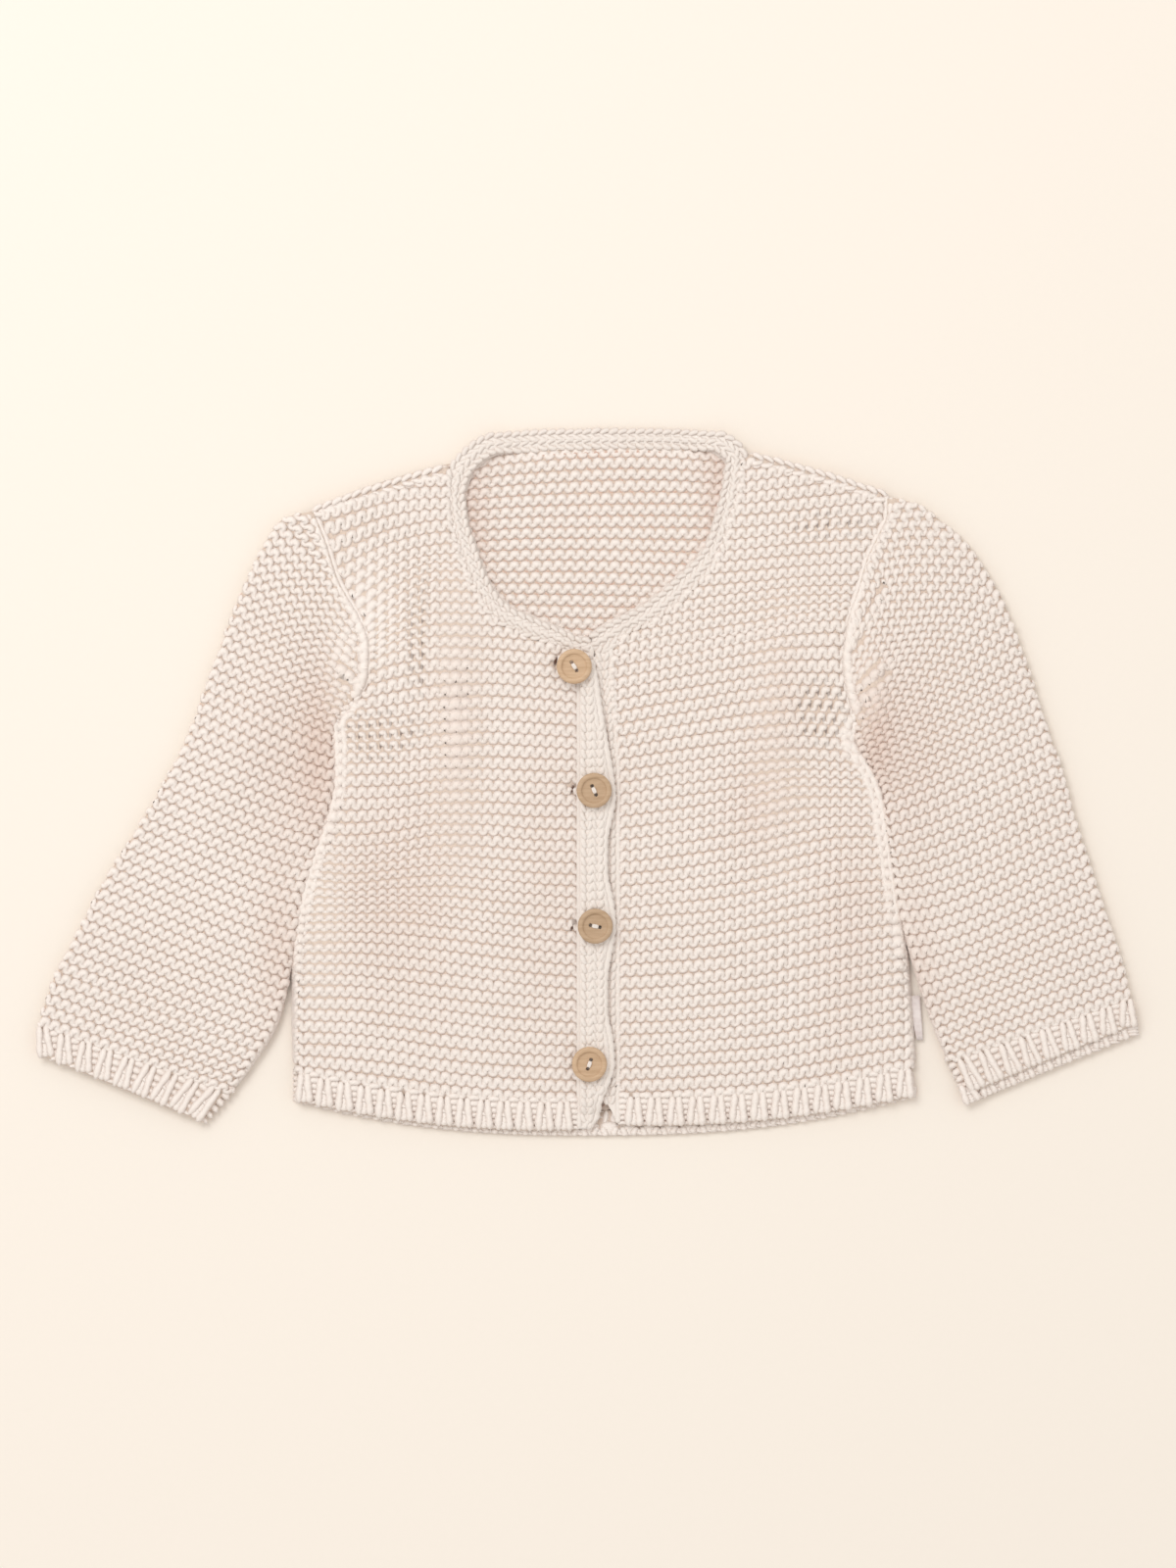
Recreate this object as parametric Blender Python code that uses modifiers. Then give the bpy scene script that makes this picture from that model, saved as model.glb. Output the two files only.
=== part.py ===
"""Baby cardigan in plain hand knit, laid face up on a surface with its four buttons done up.

X runs across the garment, with the wearer's left at +X. Y runs from the hem to the neck, and Z
points up. The pattern is drawn in millimetres from the foot of the centre front. It is then set
with the middle of its footprint on the origin, and its underside lies on z = 0.
"""

import math
from collections import namedtuple

import bmesh
import bpy

MM = 0.001
FOOTPRINT_MIDDLE = (-3.5, 151.25)  # middle of the laid-out garment, from the foot of the centre front

# Cloth, in millimetres
WALL = 2.6  # panels and sleeves
BAND_WALL = 2.4  # neckband and the two front bands
SEAM = 0.35  # between pieces that are sewn edge to edge
LAYER_GAP = 0.4  # between pieces that lie on each other
EDGE = 1.0  # how far the rounding of a cut edge reaches in
FOLD = 3.2  # from a sleeve's folded edge to the hollow inside it
RIB_DEPTH = 12.0  # of the ribbed hem and cuffs
RIB_RISE = 0.7
POINTS_PER_RIB = 4
SLEEVE_HEIGHT = 6.2
ARCH = 2.4  # power of the curve that the back's rows follow between the two sides
BACK_POINTS, FRONT_POINTS, SLEEVE_POINTS = 17, 12, 11  # across a section

# Undersides of the layers
FRONT_BASE = WALL + LAYER_GAP
OVER_BAND = BAND_WALL + LAYER_GAP
BUTTON_BASE = FRONT_BASE + 2 * OVER_BAND

# Rows of the body, from the top of the hem ribbing to the shoulder. The side is where front and
# back are seamed, then the armhole. The front is where its own band is, then the neckband. The sag
# is how far the front's row hangs below a straight line. The back is its row's height at the middle.
Row = namedtuple("Row", "side_x side_y front_x front_y sag back_y")
UNDERARM, NECK_CORNER, SHOULDER = 9, 11, 18
RIGHT_BODY = (
    Row(-127.0, 26.5, -7.0, 14.0, 4.0, 11.5),
    Row(-127.5, 50.5, -7.0, 37.0, 3.5, 33.5),
    Row(-127.5, 73.5, -7.0, 59.5, 3.0, 59.0),
    Row(-124.5, 96.5, -7.0, 83.0, 2.5, 84.0),
    Row(-119.5, 117.0, -7.0, 104.0, 2.0, 105.0),
    Row(-112.5, 135.0, -7.0, 124.0, 1.5, 125.0),
    Row(-109.0, 153.5, -7.0, 143.0, 1.5, 145.0),
    Row(-109.0, 167.0, -7.0, 157.5, 1.0, 159.5),
    Row(-110.0, 176.5, -7.0, 169.5, 1.0, 171.5),
    Row(-102.0, 186.5, -7.0, 181.5, 0.0, 184.0),
    Row(-96.5, 197.5, -7.0, 193.0, 0.0, 194.5),
    Row(-96.0, 211.0, -7.0, 205.0, 0.0, 206.5),
    Row(-99.5, 222.0, -26.5, 213.5, 0.0, 218.5),
    Row(-104.5, 231.0, -40.5, 220.0, 0.0, 230.0),
    Row(-108.5, 238.5, -51.0, 232.5, 0.0, 243.0),
    Row(-111.5, 247.5, -57.0, 246.5, 0.0, 257.0),
    Row(-114.0, 255.5, -61.5, 261.0, 0.0, 271.0),
    Row(-117.0, 263.0, -63.0, 275.0, 0.0, 285.0),
    Row(-119.5, 269.0, -61.5, 287.5, -1.0, 295.5),
)
LEFT_BODY = (
    Row(137.0, 28.5, 12.0, 16.0, 4.0, 11.5),
    Row(136.0, 46.0, 12.0, 38.5, 3.5, 33.5),
    Row(134.0, 69.5, 12.0, 61.5, 3.0, 59.0),
    Row(130.0, 92.5, 12.0, 84.0, 2.5, 84.0),
    Row(127.0, 113.5, 12.0, 105.0, 2.0, 105.0),
    Row(124.5, 131.0, 12.0, 125.0, 1.5, 125.0),
    Row(122.0, 146.0, 12.0, 144.5, 1.5, 145.0),
    Row(116.5, 159.0, 12.0, 159.5, 1.0, 159.5),
    Row(110.0, 169.5, 11.0, 171.5, 1.0, 171.5),
    Row(112.0, 178.0, 10.5, 182.5, 0.0, 184.0),
    Row(109.0, 190.0, 9.5, 193.0, 0.0, 194.5),
    Row(107.0, 205.0, 9.0, 211.5, 0.0, 206.5),
    Row(108.0, 214.0, 25.0, 219.5, 0.0, 218.5),
    Row(109.5, 223.5, 35.5, 227.5, 0.0, 230.0),
    Row(113.0, 234.0, 45.5, 236.5, 0.0, 243.0),
    Row(117.0, 248.0, 55.0, 248.5, 0.0, 257.0),
    Row(122.0, 258.5, 60.0, 264.0, 0.0, 271.0),
    Row(125.5, 267.0, 64.5, 279.5, 0.0, 285.0),
    Row(125.5, 275.5, 65.5, 293.0, -1.0, 295.5),
)

# Neckband: its inner edge along each front, from the neck corner to the shoulder, and its open end
# at the centre front. Then its rows over the right shoulder, along the back neck and down again.
Edge = namedtuple("Edge", "x y")
Band = namedtuple("Band", "outer_x outer_y inner_x inner_y base")
RIGHT_NECK = (
    Edge(-5.5, 213.5),
    Edge(-23.0, 221.0),
    Edge(-35.5, 226.5),
    Edge(-44.5, 236.5),
    Edge(-49.5, 249.0),
    Edge(-54.0, 262.5),
    Edge(-56.0, 274.0),
    Edge(-54.0, 282.0),
)
LEFT_NECK = (
    Edge(5.5, 219.0),
    Edge(21.0, 227.0),
    Edge(31.5, 235.0),
    Edge(40.0, 243.0),
    Edge(48.5, 252.5),
    Edge(53.0, 264.0),
    Edge(56.5, 279.5),
    Edge(58.0, 289.0),
)
RIGHT_NECK_END = Band(-1.5, 205.5, -1.0, 213.5, FRONT_BASE)
LEFT_NECK_END = Band(0.0, 207.0, -0.5, 214.5, FRONT_BASE)
RIGHT_NECK_TURN = (
    Band(-53.5, 296.0, -48.0, 290.0, FRONT_BASE),
    Band(-44.0, 301.0, -40.5, 294.0, 2.7),
)
LEFT_NECK_TURN = (
    Band(55.0, 301.5, 51.0, 295.0, 2.7),
    Band(61.0, 299.0, 54.5, 293.0, FRONT_BASE),
)
BackNeck = namedtuple("BackNeck", "x outer_y base")
BACK_NECK = (
    BackNeck(-36.0, 302.0, 1.3),
    BackNeck(-30.0, 302.5, 0.0),
    BackNeck(-14.0, 303.0, 0.0),
    BackNeck(4.0, 303.0, 0.0),
    BackNeck(22.0, 303.0, 0.0),
    BackNeck(38.0, 302.5, 0.0),
    BackNeck(45.5, 302.0, 1.3),
)

# Front bands. The upper one is the right front's, and its free edge waves between the buttons. It
# lies over the under band, but comes down to the back where that band's foot turns away.
TopBand = namedtuple("TopBand", "y edge_x over")
TOP_BAND = (
    TopBand(3.5, -1.0, 0.0),
    TopBand(9.0, 3.0, 0.0),
    TopBand(15.0, 4.0, 0.9),
    TopBand(22.5, 7.0, 1.0),
    TopBand(31.5, 9.5, 1.0),
    TopBand(41.0, 9.0, 1.0),
    TopBand(54.5, 6.5, 1.0),
    TopBand(67.0, 6.5, 1.0),
    TopBand(80.0, 8.5, 1.0),
    TopBand(90.5, 10.0, 1.0),
    TopBand(101.0, 9.0, 1.0),
    TopBand(114.0, 6.5, 1.0),
    TopBand(126.0, 6.5, 1.0),
    TopBand(136.5, 8.5, 1.0),
    TopBand(146.0, 10.0, 1.0),
    TopBand(155.5, 9.0, 1.0),
    TopBand(170.0, 6.5, 1.0),
    TopBand(185.0, 4.0, 1.0),
    TopBand(195.5, 2.5, 1.0),
    TopBand(204.4, 0.5, 1.0),
)
UnderBand = namedtuple("UnderBand", "y edge_x")
UNDER_BAND = (
    UnderBand(6.0, 10.0),
    UnderBand(10.0, 8.4),
    UnderBand(13.0, 6.6),
    UnderBand(16.5, 4.6),
    UnderBand(20.0, 1.5),
    UnderBand(24.5, -2.0),
    UnderBand(60.0, -2.0),
    UnderBand(100.0, -2.0),
    UnderBand(150.0, -2.0),
    UnderBand(190.0, -2.0),
    UnderBand(204.4, -2.0),
)
UNDER_BAND_RISES = 6.3  # its top end slants up to the left front's neck corner by this much
CLEAR_OF_EDGE = -2.7  # the upper band has risen to its full height by here

# Sleeves, from the armhole to the top of the cuff ribbing. Outer is the folded edge that runs down
# from the shoulder, and inner is the one that runs down from the underarm.
Ring = namedtuple("Ring", "outer_x outer_y inner_x inner_y")
RIGHT_SLEEVE = (
    Ring(-132.5, 266.0, -107.5, 182.5),
    Ring(-141.5, 253.5, -111.5, 174.5),
    Ring(-149.0, 238.5, -110.5, 166.0),
    Ring(-156.5, 220.0, -110.4, 154.5),
    Ring(-164.5, 199.5, -113.3, 137.5),
    Ring(-173.0, 175.5, -119.0, 122.5),
    Ring(-185.0, 151.0, -124.0, 106.5),
    Ring(-197.5, 130.0, -127.5, 90.5),
    Ring(-210.0, 110.5, -129.2, 73.5),
    Ring(-222.5, 86.0, -132.0, 54.5),
    Ring(-232.5, 66.5, -140.5, 40.5),
    Ring(-236.5, 59.0, -147.0, 31.5),
    Ring(-239.0, 47.5, -156.5, 18.0),
)
LEFT_SLEEVE = (
    Ring(137.5, 272.5, 112.8, 172.0),
    Ring(150.0, 264.0, 115.0, 164.5),
    Ring(161.5, 253.5, 119.2, 157.0),
    Ring(171.0, 240.0, 123.5, 148.5),
    Ring(179.5, 223.5, 126.0, 138.0),
    Ring(187.0, 202.5, 127.0, 126.0),
    Ring(194.0, 180.5, 128.6, 113.5),
    Ring(202.0, 157.5, 131.0, 98.5),
    Ring(208.5, 133.5, 134.5, 85.0),
    Ring(215.5, 112.0, 138.0, 72.0),
    Ring(222.0, 93.0, 142.0, 60.5),
    Ring(227.5, 75.0, 147.0, 46.0),
    Ring(231.5, 59.0, 153.5, 31.0),
)
RIGHT_CUFF_END = Ring(-237.0, 34.5, -167.5, 5.5)
LEFT_CUFF_END = Ring(232.0, 47.5, 161.0, 17.5)
SEAM_FADES = 6  # the armhole's curve has faded out of the sleeve's rings by this one
RIBS_PER_FRONT = 14
RIBS_PER_CUFF = 9
CUFF_PEEK = 4.5  # the left cuff's lower layer shows this far beyond its upper one

# Soft folds of the upper layers: middle, half length, half width, turn to the left from upright, rise
Fold = namedtuple("Fold", "x y length width turn rise")
BODY_FOLDS = (
    Fold(-59.0, 172.0, 52.0, 9.0, 2.0, 1.3),
    Fold(-36.0, 104.0, 62.0, 26.0, -4.0, 1.0),
    Fold(-99.0, 212.0, 20.0, 9.0, -14.0, 0.9),
    Fold(-104.0, 92.0, 44.0, 12.0, 6.0, 0.8),
    Fold(79.0, 168.0, 55.0, 11.0, -3.0, 1.5),
    Fold(103.0, 96.0, 33.0, 9.0, 14.0, 1.1),
    Fold(47.0, 82.0, 48.0, 28.0, 8.0, 0.9),
    Fold(101.0, 222.0, 24.0, 8.0, 9.0, 0.8),
)
SLEEVE_FOLDS = (
    Fold(-150.0, 168.0, 62.0, 13.0, -24.0, 1.7),
    Fold(-205.0, 84.0, 34.0, 15.0, -26.0, 1.0),
    Fold(-131.0, 232.0, 22.0, 10.0, 12.0, 1.1),
    Fold(-168.0, 76.0, 40.0, 12.0, -30.0, 0.7),
    Fold(120.5, 192.0, 17.0, 5.0, 3.0, 1.9),
    Fold(176.0, 146.0, 58.0, 14.0, 22.0, 1.6),
    Fold(146.0, 232.0, 27.0, 11.0, 30.0, 1.3),
    Fold(194.0, 72.0, 30.0, 15.0, 24.0, 0.8),
)

Button = namedtuple("Button", "x y turn")
BUTTONS = (
    Button(-8.0, 201.5, 32.0),
    Button(0.5, 148.5, 24.0),
    Button(1.0, 90.5, 78.0),
    Button(-1.5, 31.5, -20.0),
)
BUTTON_RADIUS = 7.5
BUTTON_HEIGHT = 3.0
BUTTON_RIM = 1.3
BUTTON_DISH = 0.9
HOLE_RADIUS = 0.95
HOLE_SPACING = 4.0
BUTTON_STEPS = 24
HOLE_STEPS = 10

LABEL_TOP = ((135.6, 60.3), (140.4, 60.3))
LABEL_FOOT = ((139.3, 41.3), (141.8, 41.3))
LABEL_BASE = 1.0
LABEL_WALL = 1.0

YARN_COLOUR = (0.84, 0.74, 0.66, 1)
BAND_COLOUR = (0.88, 0.79, 0.71, 1)
WOOD_COLOUR = (0.50, 0.33, 0.19, 1)
SATIN_COLOUR = (0.72, 0.66, 0.66, 1)


# Curves


def smooth(values, place):
    """The value at a place along a column of a table, on a curve that never swings past its rows."""
    steps = [after - before for before, after in zip(values, values[1:])]
    slopes = [steps[0]]
    for before, after in zip(steps, steps[1:]):
        slopes.append(2 * before * after / (before + after) if before * after > 0 else 0)
    slopes.append(steps[-1])
    row = min(max(int(place), 0), len(steps) - 1)
    t = place - row
    start = values[row] * (1 + 2 * t) * (1 - t) ** 2 + slopes[row] * t * (1 - t) ** 2
    end = values[row + 1] * t * t * (3 - 2 * t) + slopes[row + 1] * t * t * (t - 1)
    return start + end


def row_at(table, place):
    return type(table[0])(*(smooth(column, place) for column in zip(*table)))


def places(first, last, per_row):
    """Evenly spaced places from one row of a table to another."""
    count = round((last - first) * per_row)
    return [first + (last - first) * step / count for step in range(count + 1)]


def between(start, end, share):
    return tuple(a + (b - a) * share for a, b in zip(start, end))


def shares(count):
    return [step / (count - 1) for step in range(count)]


def round_shares(count):
    """Shares from 0 to 1 that lie closer together towards both ends."""
    return [0.5 - 0.5 * math.cos(math.pi * share) for share in shares(count)]


def fold_height(folds, x, y):
    height = 0
    for fold in folds:
        turn = math.radians(fold.turn)
        across = (x - fold.x) * math.cos(turn) + (y - fold.y) * math.sin(turn)
        along = (y - fold.y) * math.cos(turn) - (x - fold.x) * math.sin(turn)
        height += fold.rise * math.exp(-((across / fold.width) ** 2) - (along / fold.length) ** 2)
    return height


def front_base(x, y):
    return FRONT_BASE + fold_height(BODY_FOLDS, x, y)


def back_base(x, y):
    return 0.0


# Sections


def strip_section(points, base, wall, rises=None):
    """The loop round a strip of cloth: over its upper face, then back along its underside."""
    rises = rises or [0] * len(points)
    span = math.dist(points[0], points[1])
    end_span = math.dist(points[-1], points[-2])
    inset = [between(points[0], points[1], min(EDGE / span, 0.6))]
    inset += points[1:-1]
    inset += [between(points[-1], points[-2], min(EDGE / end_span, 0.6))]
    top = [(x, y, base(x, y) + wall + rise) for (x, y), rise in zip(inset, rises)]
    under = [(x, y, base(x, y)) for x, y in inset]
    edges = [(x, y, base(x, y) + wall / 2) for x, y in (points[-1], points[0])]
    return top + edges[:1] + under[::-1] + edges[1:]


def tube_sections(line, count_shares, extra=None, peek=(0, 0)):
    """The outer and inner loops of one ring of a sleeve that lies pressed flat."""
    length = math.dist(line(0), line(1))
    extra = extra or [0] * len(count_shares)

    def top(share):
        x, y = line(share)
        reach = min(min(share, 1 - share) * length / FOLD, 1)
        full = SLEEVE_HEIGHT + fold_height(SLEEVE_FOLDS, x, y) * reach
        return full * (0.5 + 0.5 * math.sqrt(1 - (1 - reach) ** 2))

    loops = []
    for inset, wall in ((0, 0), (FOLD / length, WALL)):
        spread = [inset + share * (1 - 2 * inset) for share in count_shares]
        upper = [(*line(share), top(share) - wall) for share in spread]
        if not wall:
            upper = [(x, y, z + rise) for (x, y, z), rise in zip(upper, extra)]
        lower = [(x + peek[0], y + peek[1], wall) for x, y in map(line, spread[1:-1])]
        ends = [(*line(share), SLEEVE_HEIGHT / 2) for share in (spread[0], spread[-1])]
        loops.append([ends[0]] + upper[1:-1] + [ends[1]] + lower[::-1])
    return loops


def rib_rises(ribs):
    """The lift of each point across a ribbed strip: two of every four stand up."""
    return [RIB_RISE * (step % POINTS_PER_RIB in (1, 2)) for step in range(ribs * POINTS_PER_RIB + 1)]


# Solids


def make_material(name, colour, roughness):
    material = bpy.data.materials.new(name)
    material.use_nodes = True
    surface = material.node_tree.nodes["Principled BSDF"]
    surface.inputs["Base Color"].default_value = colour
    surface.inputs["Roughness"].default_value = roughness
    surface.inputs["Metallic"].default_value = 0
    return material


def skin(mesh, sections):
    """Joins closed loops of as many points with quads, and returns the loops' vertices."""
    rows = [[mesh.verts.new(to_metres(point)) for point in section] for section in sections]
    for row, after in zip(rows, rows[1:]):
        for step in range(len(row)):
            following = (step + 1) % len(row)
            mesh.faces.new((row[step], row[following], after[following], after[step]))
    return rows


def to_metres(point):
    x, y, z = point
    return ((x - FOOTPRINT_MIDDLE[0]) * MM, (y - FOOTPRINT_MIDDLE[1]) * MM, z * MM)


def cap(mesh, loop):
    """Closes the end of a strip between its upper and its under side."""
    across = len(loop) // 2 - 1
    for step in range(across - 1):
        lower = 2 * across - step
        mesh.faces.new((loop[step], loop[step + 1], loop[lower - 1], loop[lower]))
    mesh.faces.new((loop[across - 1], loop[across], loop[across + 1]))
    mesh.faces.new((loop[2 * across], loop[2 * across + 1], loop[0]))


def finish(name, mesh, material):
    bmesh.ops.recalc_face_normals(mesh, faces=mesh.faces)
    data = bpy.data.meshes.new(name)
    mesh.to_mesh(data)
    mesh.free()
    data.materials.append(material)
    obj = bpy.data.objects.new(name, data)
    cardigan.objects.link(obj)
    return obj


def strip(name, sections, material):
    mesh = bmesh.new()
    rows = skin(mesh, sections)
    cap(mesh, rows[0])
    cap(mesh, rows[-1])
    return finish(name, mesh, material)


def tube(name, rings, material):
    """A tube of cloth from the outer and inner loops of its rings, open at both ends."""
    mesh = bmesh.new()
    outer = skin(mesh, [ring[0] for ring in rings])
    inner = skin(mesh, [ring[1] for ring in rings])
    for outside, inside in ((outer[0], inner[0]), (outer[-1], inner[-1])):
        for step in range(len(outside)):
            following = (step + 1) % len(outside)
            mesh.faces.new((outside[step], outside[following], inside[following], inside[step]))
    return finish(name, mesh, material)


# Body


def back_point(place, share):
    """A point of the back's row at this place, a share of the way from its right side to its left."""
    right = row_at(RIGHT_BODY, place)
    left = row_at(LEFT_BODY, place)
    x, y = between((right.side_x, right.side_y), (left.side_x, left.side_y), share)
    rise = right.back_y - (right.side_y + left.side_y) / 2
    return x, y + rise * (1 - abs(2 * share - 1) ** ARCH)


def front_point(table, place, share):
    """A point of a front's row at this place, a share of the way from its side to its band."""
    row = row_at(table, place)
    x, y = between((row.side_x, row.side_y), (row.front_x, row.front_y), share)
    return x, y - row.sag * 4 * share * (1 - share)


def body_places():
    """One section a row up to the underarm, then two a row round the armhole and neck."""
    return places(0, UNDERARM, 1)[:-1] + places(UNDERARM, SHOULDER, 2)


def make_back():
    sections = []
    for place in body_places():
        points = [back_point(place, share) for share in shares(BACK_POINTS)]
        sections.append(strip_section(points, back_base, WALL))
    strip("back", sections, yarn)


def make_front(name, table):
    sections = []
    for place in body_places():
        points = [front_point(table, place, share) for share in shares(FRONT_POINTS)]
        sections.append(strip_section(points, front_base, WALL))
    strip(name, sections, yarn)


def make_hem_rib(name, line, base, rises):
    """The ribbed foot of a panel, hanging from the panel's first row."""
    sections = []
    for drop in (SEAM, 0.5 * RIB_DEPTH, RIB_DEPTH):
        points = [(x, y - drop) for x, y in line]
        sections.append(strip_section(points, base, WALL, rises))
    strip(name, sections, yarn)


# Neckband and front bands


def seam_offset(point, ahead, distance):
    """A point moved square to the line towards the next one, to its left."""
    length = math.dist(point, ahead)
    return (
        point[0] - (ahead[1] - point[1]) / length * distance,
        point[1] + (ahead[0] - point[0]) / length * distance,
    )


def neck_rows(body, inner, side):
    """Rows of the neckband along one front, from the neck corner to the shoulder."""
    rows = []
    for place in places(NECK_CORNER, SHOULDER, 2):
        here = front_point(body, place, 1)
        later = front_point(body, min(place + 0.1, SHOULDER), 1)
        if place == SHOULDER:
            before = front_point(body, place - 0.1, 1)
            later = (2 * here[0] - before[0], 2 * here[1] - before[1])
        outer = seam_offset(here, later, side * SEAM)
        edge = row_at(inner, place - NECK_CORNER)
        base = min(front_base(*outer), front_base(edge.x, edge.y))
        rows.append(Band(*outer, edge.x, edge.y, base))
    return rows


def back_neck_rows():
    side_x = RIGHT_BODY[SHOULDER].side_x
    width = LEFT_BODY[SHOULDER].side_x - side_x
    rows = []
    for row in BACK_NECK:
        inner_y = back_point(SHOULDER, (row.x - side_x) / width)[1] + SEAM
        rows.append(Band(row.x, row.outer_y, row.x, inner_y, row.base))
    return rows


def make_neckband():
    rows = [RIGHT_NECK_END]
    rows += neck_rows(RIGHT_BODY, RIGHT_NECK, -1)
    rows += RIGHT_NECK_TURN
    rows += back_neck_rows()
    rows += LEFT_NECK_TURN
    rows += neck_rows(LEFT_BODY, LEFT_NECK, 1)[::-1]
    rows += [LEFT_NECK_END]
    sections = []
    for row in rows:
        points = [between(row[0:2], row[2:4], share) for share in shares(4)]
        sections.append(strip_section(points, lambda x, y, row=row: row.base, BAND_WALL))
    strip("neckband", sections, band)


def band_seam_x(table, y):
    """Where a front meets its band at this height."""
    low, high = 0, NECK_CORNER
    for _ in range(30):
        middle = (low + high) / 2
        if row_at(table, middle).front_y < y:
            low = middle
        else:
            high = middle
    return row_at(table, low).front_x


def make_top_band():
    """The buttonhole band: flat on the back at its seam, then up over the under band."""
    sections = []
    for place in places(0, len(TOP_BAND) - 1, 1):
        row = row_at(TOP_BAND, place)
        left = band_seam_x(RIGHT_BODY, row.y) + SEAM

        def base(x, y, left=left, over=row.over):
            share = min(max((x - left) / (CLEAR_OF_EDGE - left), 0), 1)
            return front_base(x, y) + OVER_BAND * over * share * share * (3 - 2 * share)

        rising = [left + (CLEAR_OF_EDGE - left) * share for share in shares(4)]
        lying = [CLEAR_OF_EDGE + (row.edge_x - CLEAR_OF_EDGE) * share for share in shares(4)]
        points = [(x, row.y) for x in rising + lying[1:]]
        sections.append(strip_section(points, base, BAND_WALL))
    strip("button_band_top", sections, band)


def make_under_band():
    sections = []
    for place in places(0, len(UNDER_BAND) - 1, 1):
        row = row_at(UNDER_BAND, place)
        top_share = max(place - len(UNDER_BAND) + 2, 0)
        right = band_seam_x(LEFT_BODY, row.y + UNDER_BAND_RISES * top_share) - SEAM
        ends = ((row.edge_x, row.y), (right, row.y + UNDER_BAND_RISES * top_share))
        points = [between(*ends, share) for share in shares(4)]
        sections.append(strip_section(points, front_base, BAND_WALL))
    strip("button_band_under", sections, band)


# Sleeves


def armhole(table, share, seam_x):
    """The armhole's edge, from the shoulder at 0 to the underarm at 1, moved out to the sleeve."""
    row = row_at(table, SHOULDER - (SHOULDER - UNDERARM) * share)
    return row.side_x + seam_x, row.side_y


def make_sleeve(name, rings, body, out):
    """Rings that start on the armhole's curve and straighten towards the cuff."""
    seam_x = out * 2 * SEAM
    ends = armhole(body, 0, seam_x), armhole(body, 1, seam_x)
    table = (Ring(*ends[0], *ends[1]),) + rings
    sections = []
    for place in places(0, len(table) - 1, 1.25):
        ring = row_at(table, place)
        fade = max(1 - place / SEAM_FADES, 0) ** 1.5

        def line(share, ring=ring, fade=fade):
            x, y = between(ring[0:2], ring[2:4], share)
            seam = armhole(body, share, seam_x)
            straight = between(*ends, share)
            return x + fade * (seam[0] - straight[0]), y + fade * (seam[1] - straight[1])

        sections.append(tube_sections(line, round_shares(SLEEVE_POINTS)))
    tube(name, sections, yarn)


def make_cuff(name, start, end, peek_length):
    """A ribbed cuff, a little narrower than the sleeve that it ends."""
    away = (end.outer_x - start.outer_x + end.inner_x - start.inner_x,
            end.outer_y - start.outer_y + end.inner_y - start.inner_y)
    reach = math.hypot(*away)
    rises = rib_rises(RIBS_PER_CUFF)
    sections = []
    for share in (2 * SEAM / reach, 0.5, 1):
        ring = between(start, end, share)
        peek = tuple(step / reach * peek_length * share for step in away)

        def line(across, ring=ring):
            return between(ring[0:2], ring[2:4], across)

        sections.append(tube_sections(line, shares(len(rises)), rises, peek))
    tube(name, sections, yarn)


# Buttons and label


def make_button(number, button):
    """A turned wooden button with a raised rim, a dished middle and two sewing holes."""
    x, y, base = to_metres((button.x, button.y, BUTTON_BASE + button_lift(button)))
    profile = (
        (0, BUTTON_HEIGHT - BUTTON_DISH),
        (BUTTON_RADIUS - 2 * BUTTON_RIM, BUTTON_HEIGHT - BUTTON_DISH),
        (BUTTON_RADIUS - BUTTON_RIM, BUTTON_HEIGHT),
        (BUTTON_RADIUS - 0.4 * BUTTON_RIM, BUTTON_HEIGHT),
        (BUTTON_RADIUS, BUTTON_HEIGHT - 0.5 * BUTTON_RIM),
        (BUTTON_RADIUS, 0.5 * BUTTON_RIM),
        (BUTTON_RADIUS - BUTTON_RIM, 0),
        (0, 0),
    )
    data = bpy.data.meshes.new(f"button_{number}")
    edges = [(step, step + 1) for step in range(len(profile) - 1)]
    data.from_pydata([(r * MM, 0, z * MM) for r, z in profile], edges, [])
    data.materials.append(wood)
    obj = bpy.data.objects.new(f"button_{number}", data)
    obj.location = (x, y, base)
    cardigan.objects.link(obj)
    turned = obj.modifiers.new("Turned", "SCREW")
    turned.steps = turned.render_steps = BUTTON_STEPS
    turned.use_merge_vertices = True
    turned.merge_threshold = 0.00001
    turned.use_normal_calculate = True
    for side in (-1, 1):
        turn = math.radians(button.turn)
        away = side * HOLE_SPACING / 2 * MM
        bpy.ops.mesh.primitive_cylinder_add(
            vertices=HOLE_STEPS,
            radius=HOLE_RADIUS * MM,
            depth=4 * BUTTON_HEIGHT * MM,
            location=(x - math.sin(turn) * away, y + math.cos(turn) * away, base),
        )
        drill = bpy.context.object
        drill.name = f"drill_{number}_{'lower' if side < 0 else 'upper'}"
        drill.hide_render = True
        drill.display_type = "WIRE"
        for home in drill.users_collection:
            home.objects.unlink(drill)
        cutters.objects.link(drill)
        hole = obj.modifiers.new("Sewing hole", "BOOLEAN")
        hole.object = drill
    return obj


def button_lift(button):
    """How far the folds raise the highest place under a button."""
    around = [math.radians(30 * step) for step in range(12)]
    spots = [(button.x, button.y)]
    spots += [
        (button.x + BUTTON_RADIUS * math.cos(turn), button.y + BUTTON_RADIUS * math.sin(turn))
        for turn in around
    ]
    return max(fold_height(BODY_FOLDS, *spot) for spot in spots)


def make_label():
    """A blank satin tab, folded double, sewn into the left side seam."""
    sections = []
    for share in shares(4):
        left = between(LABEL_TOP[0], LABEL_FOOT[0], share)
        right = between(LABEL_TOP[1], LABEL_FOOT[1], share)
        points = [between(left, right, across) for across in shares(4)]
        sections.append(strip_section(points, lambda x, y: LABEL_BASE, LABEL_WALL))
    strip("side_label", sections, satin)


for leftover in list(bpy.data.objects):
    bpy.data.objects.remove(leftover)

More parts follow.
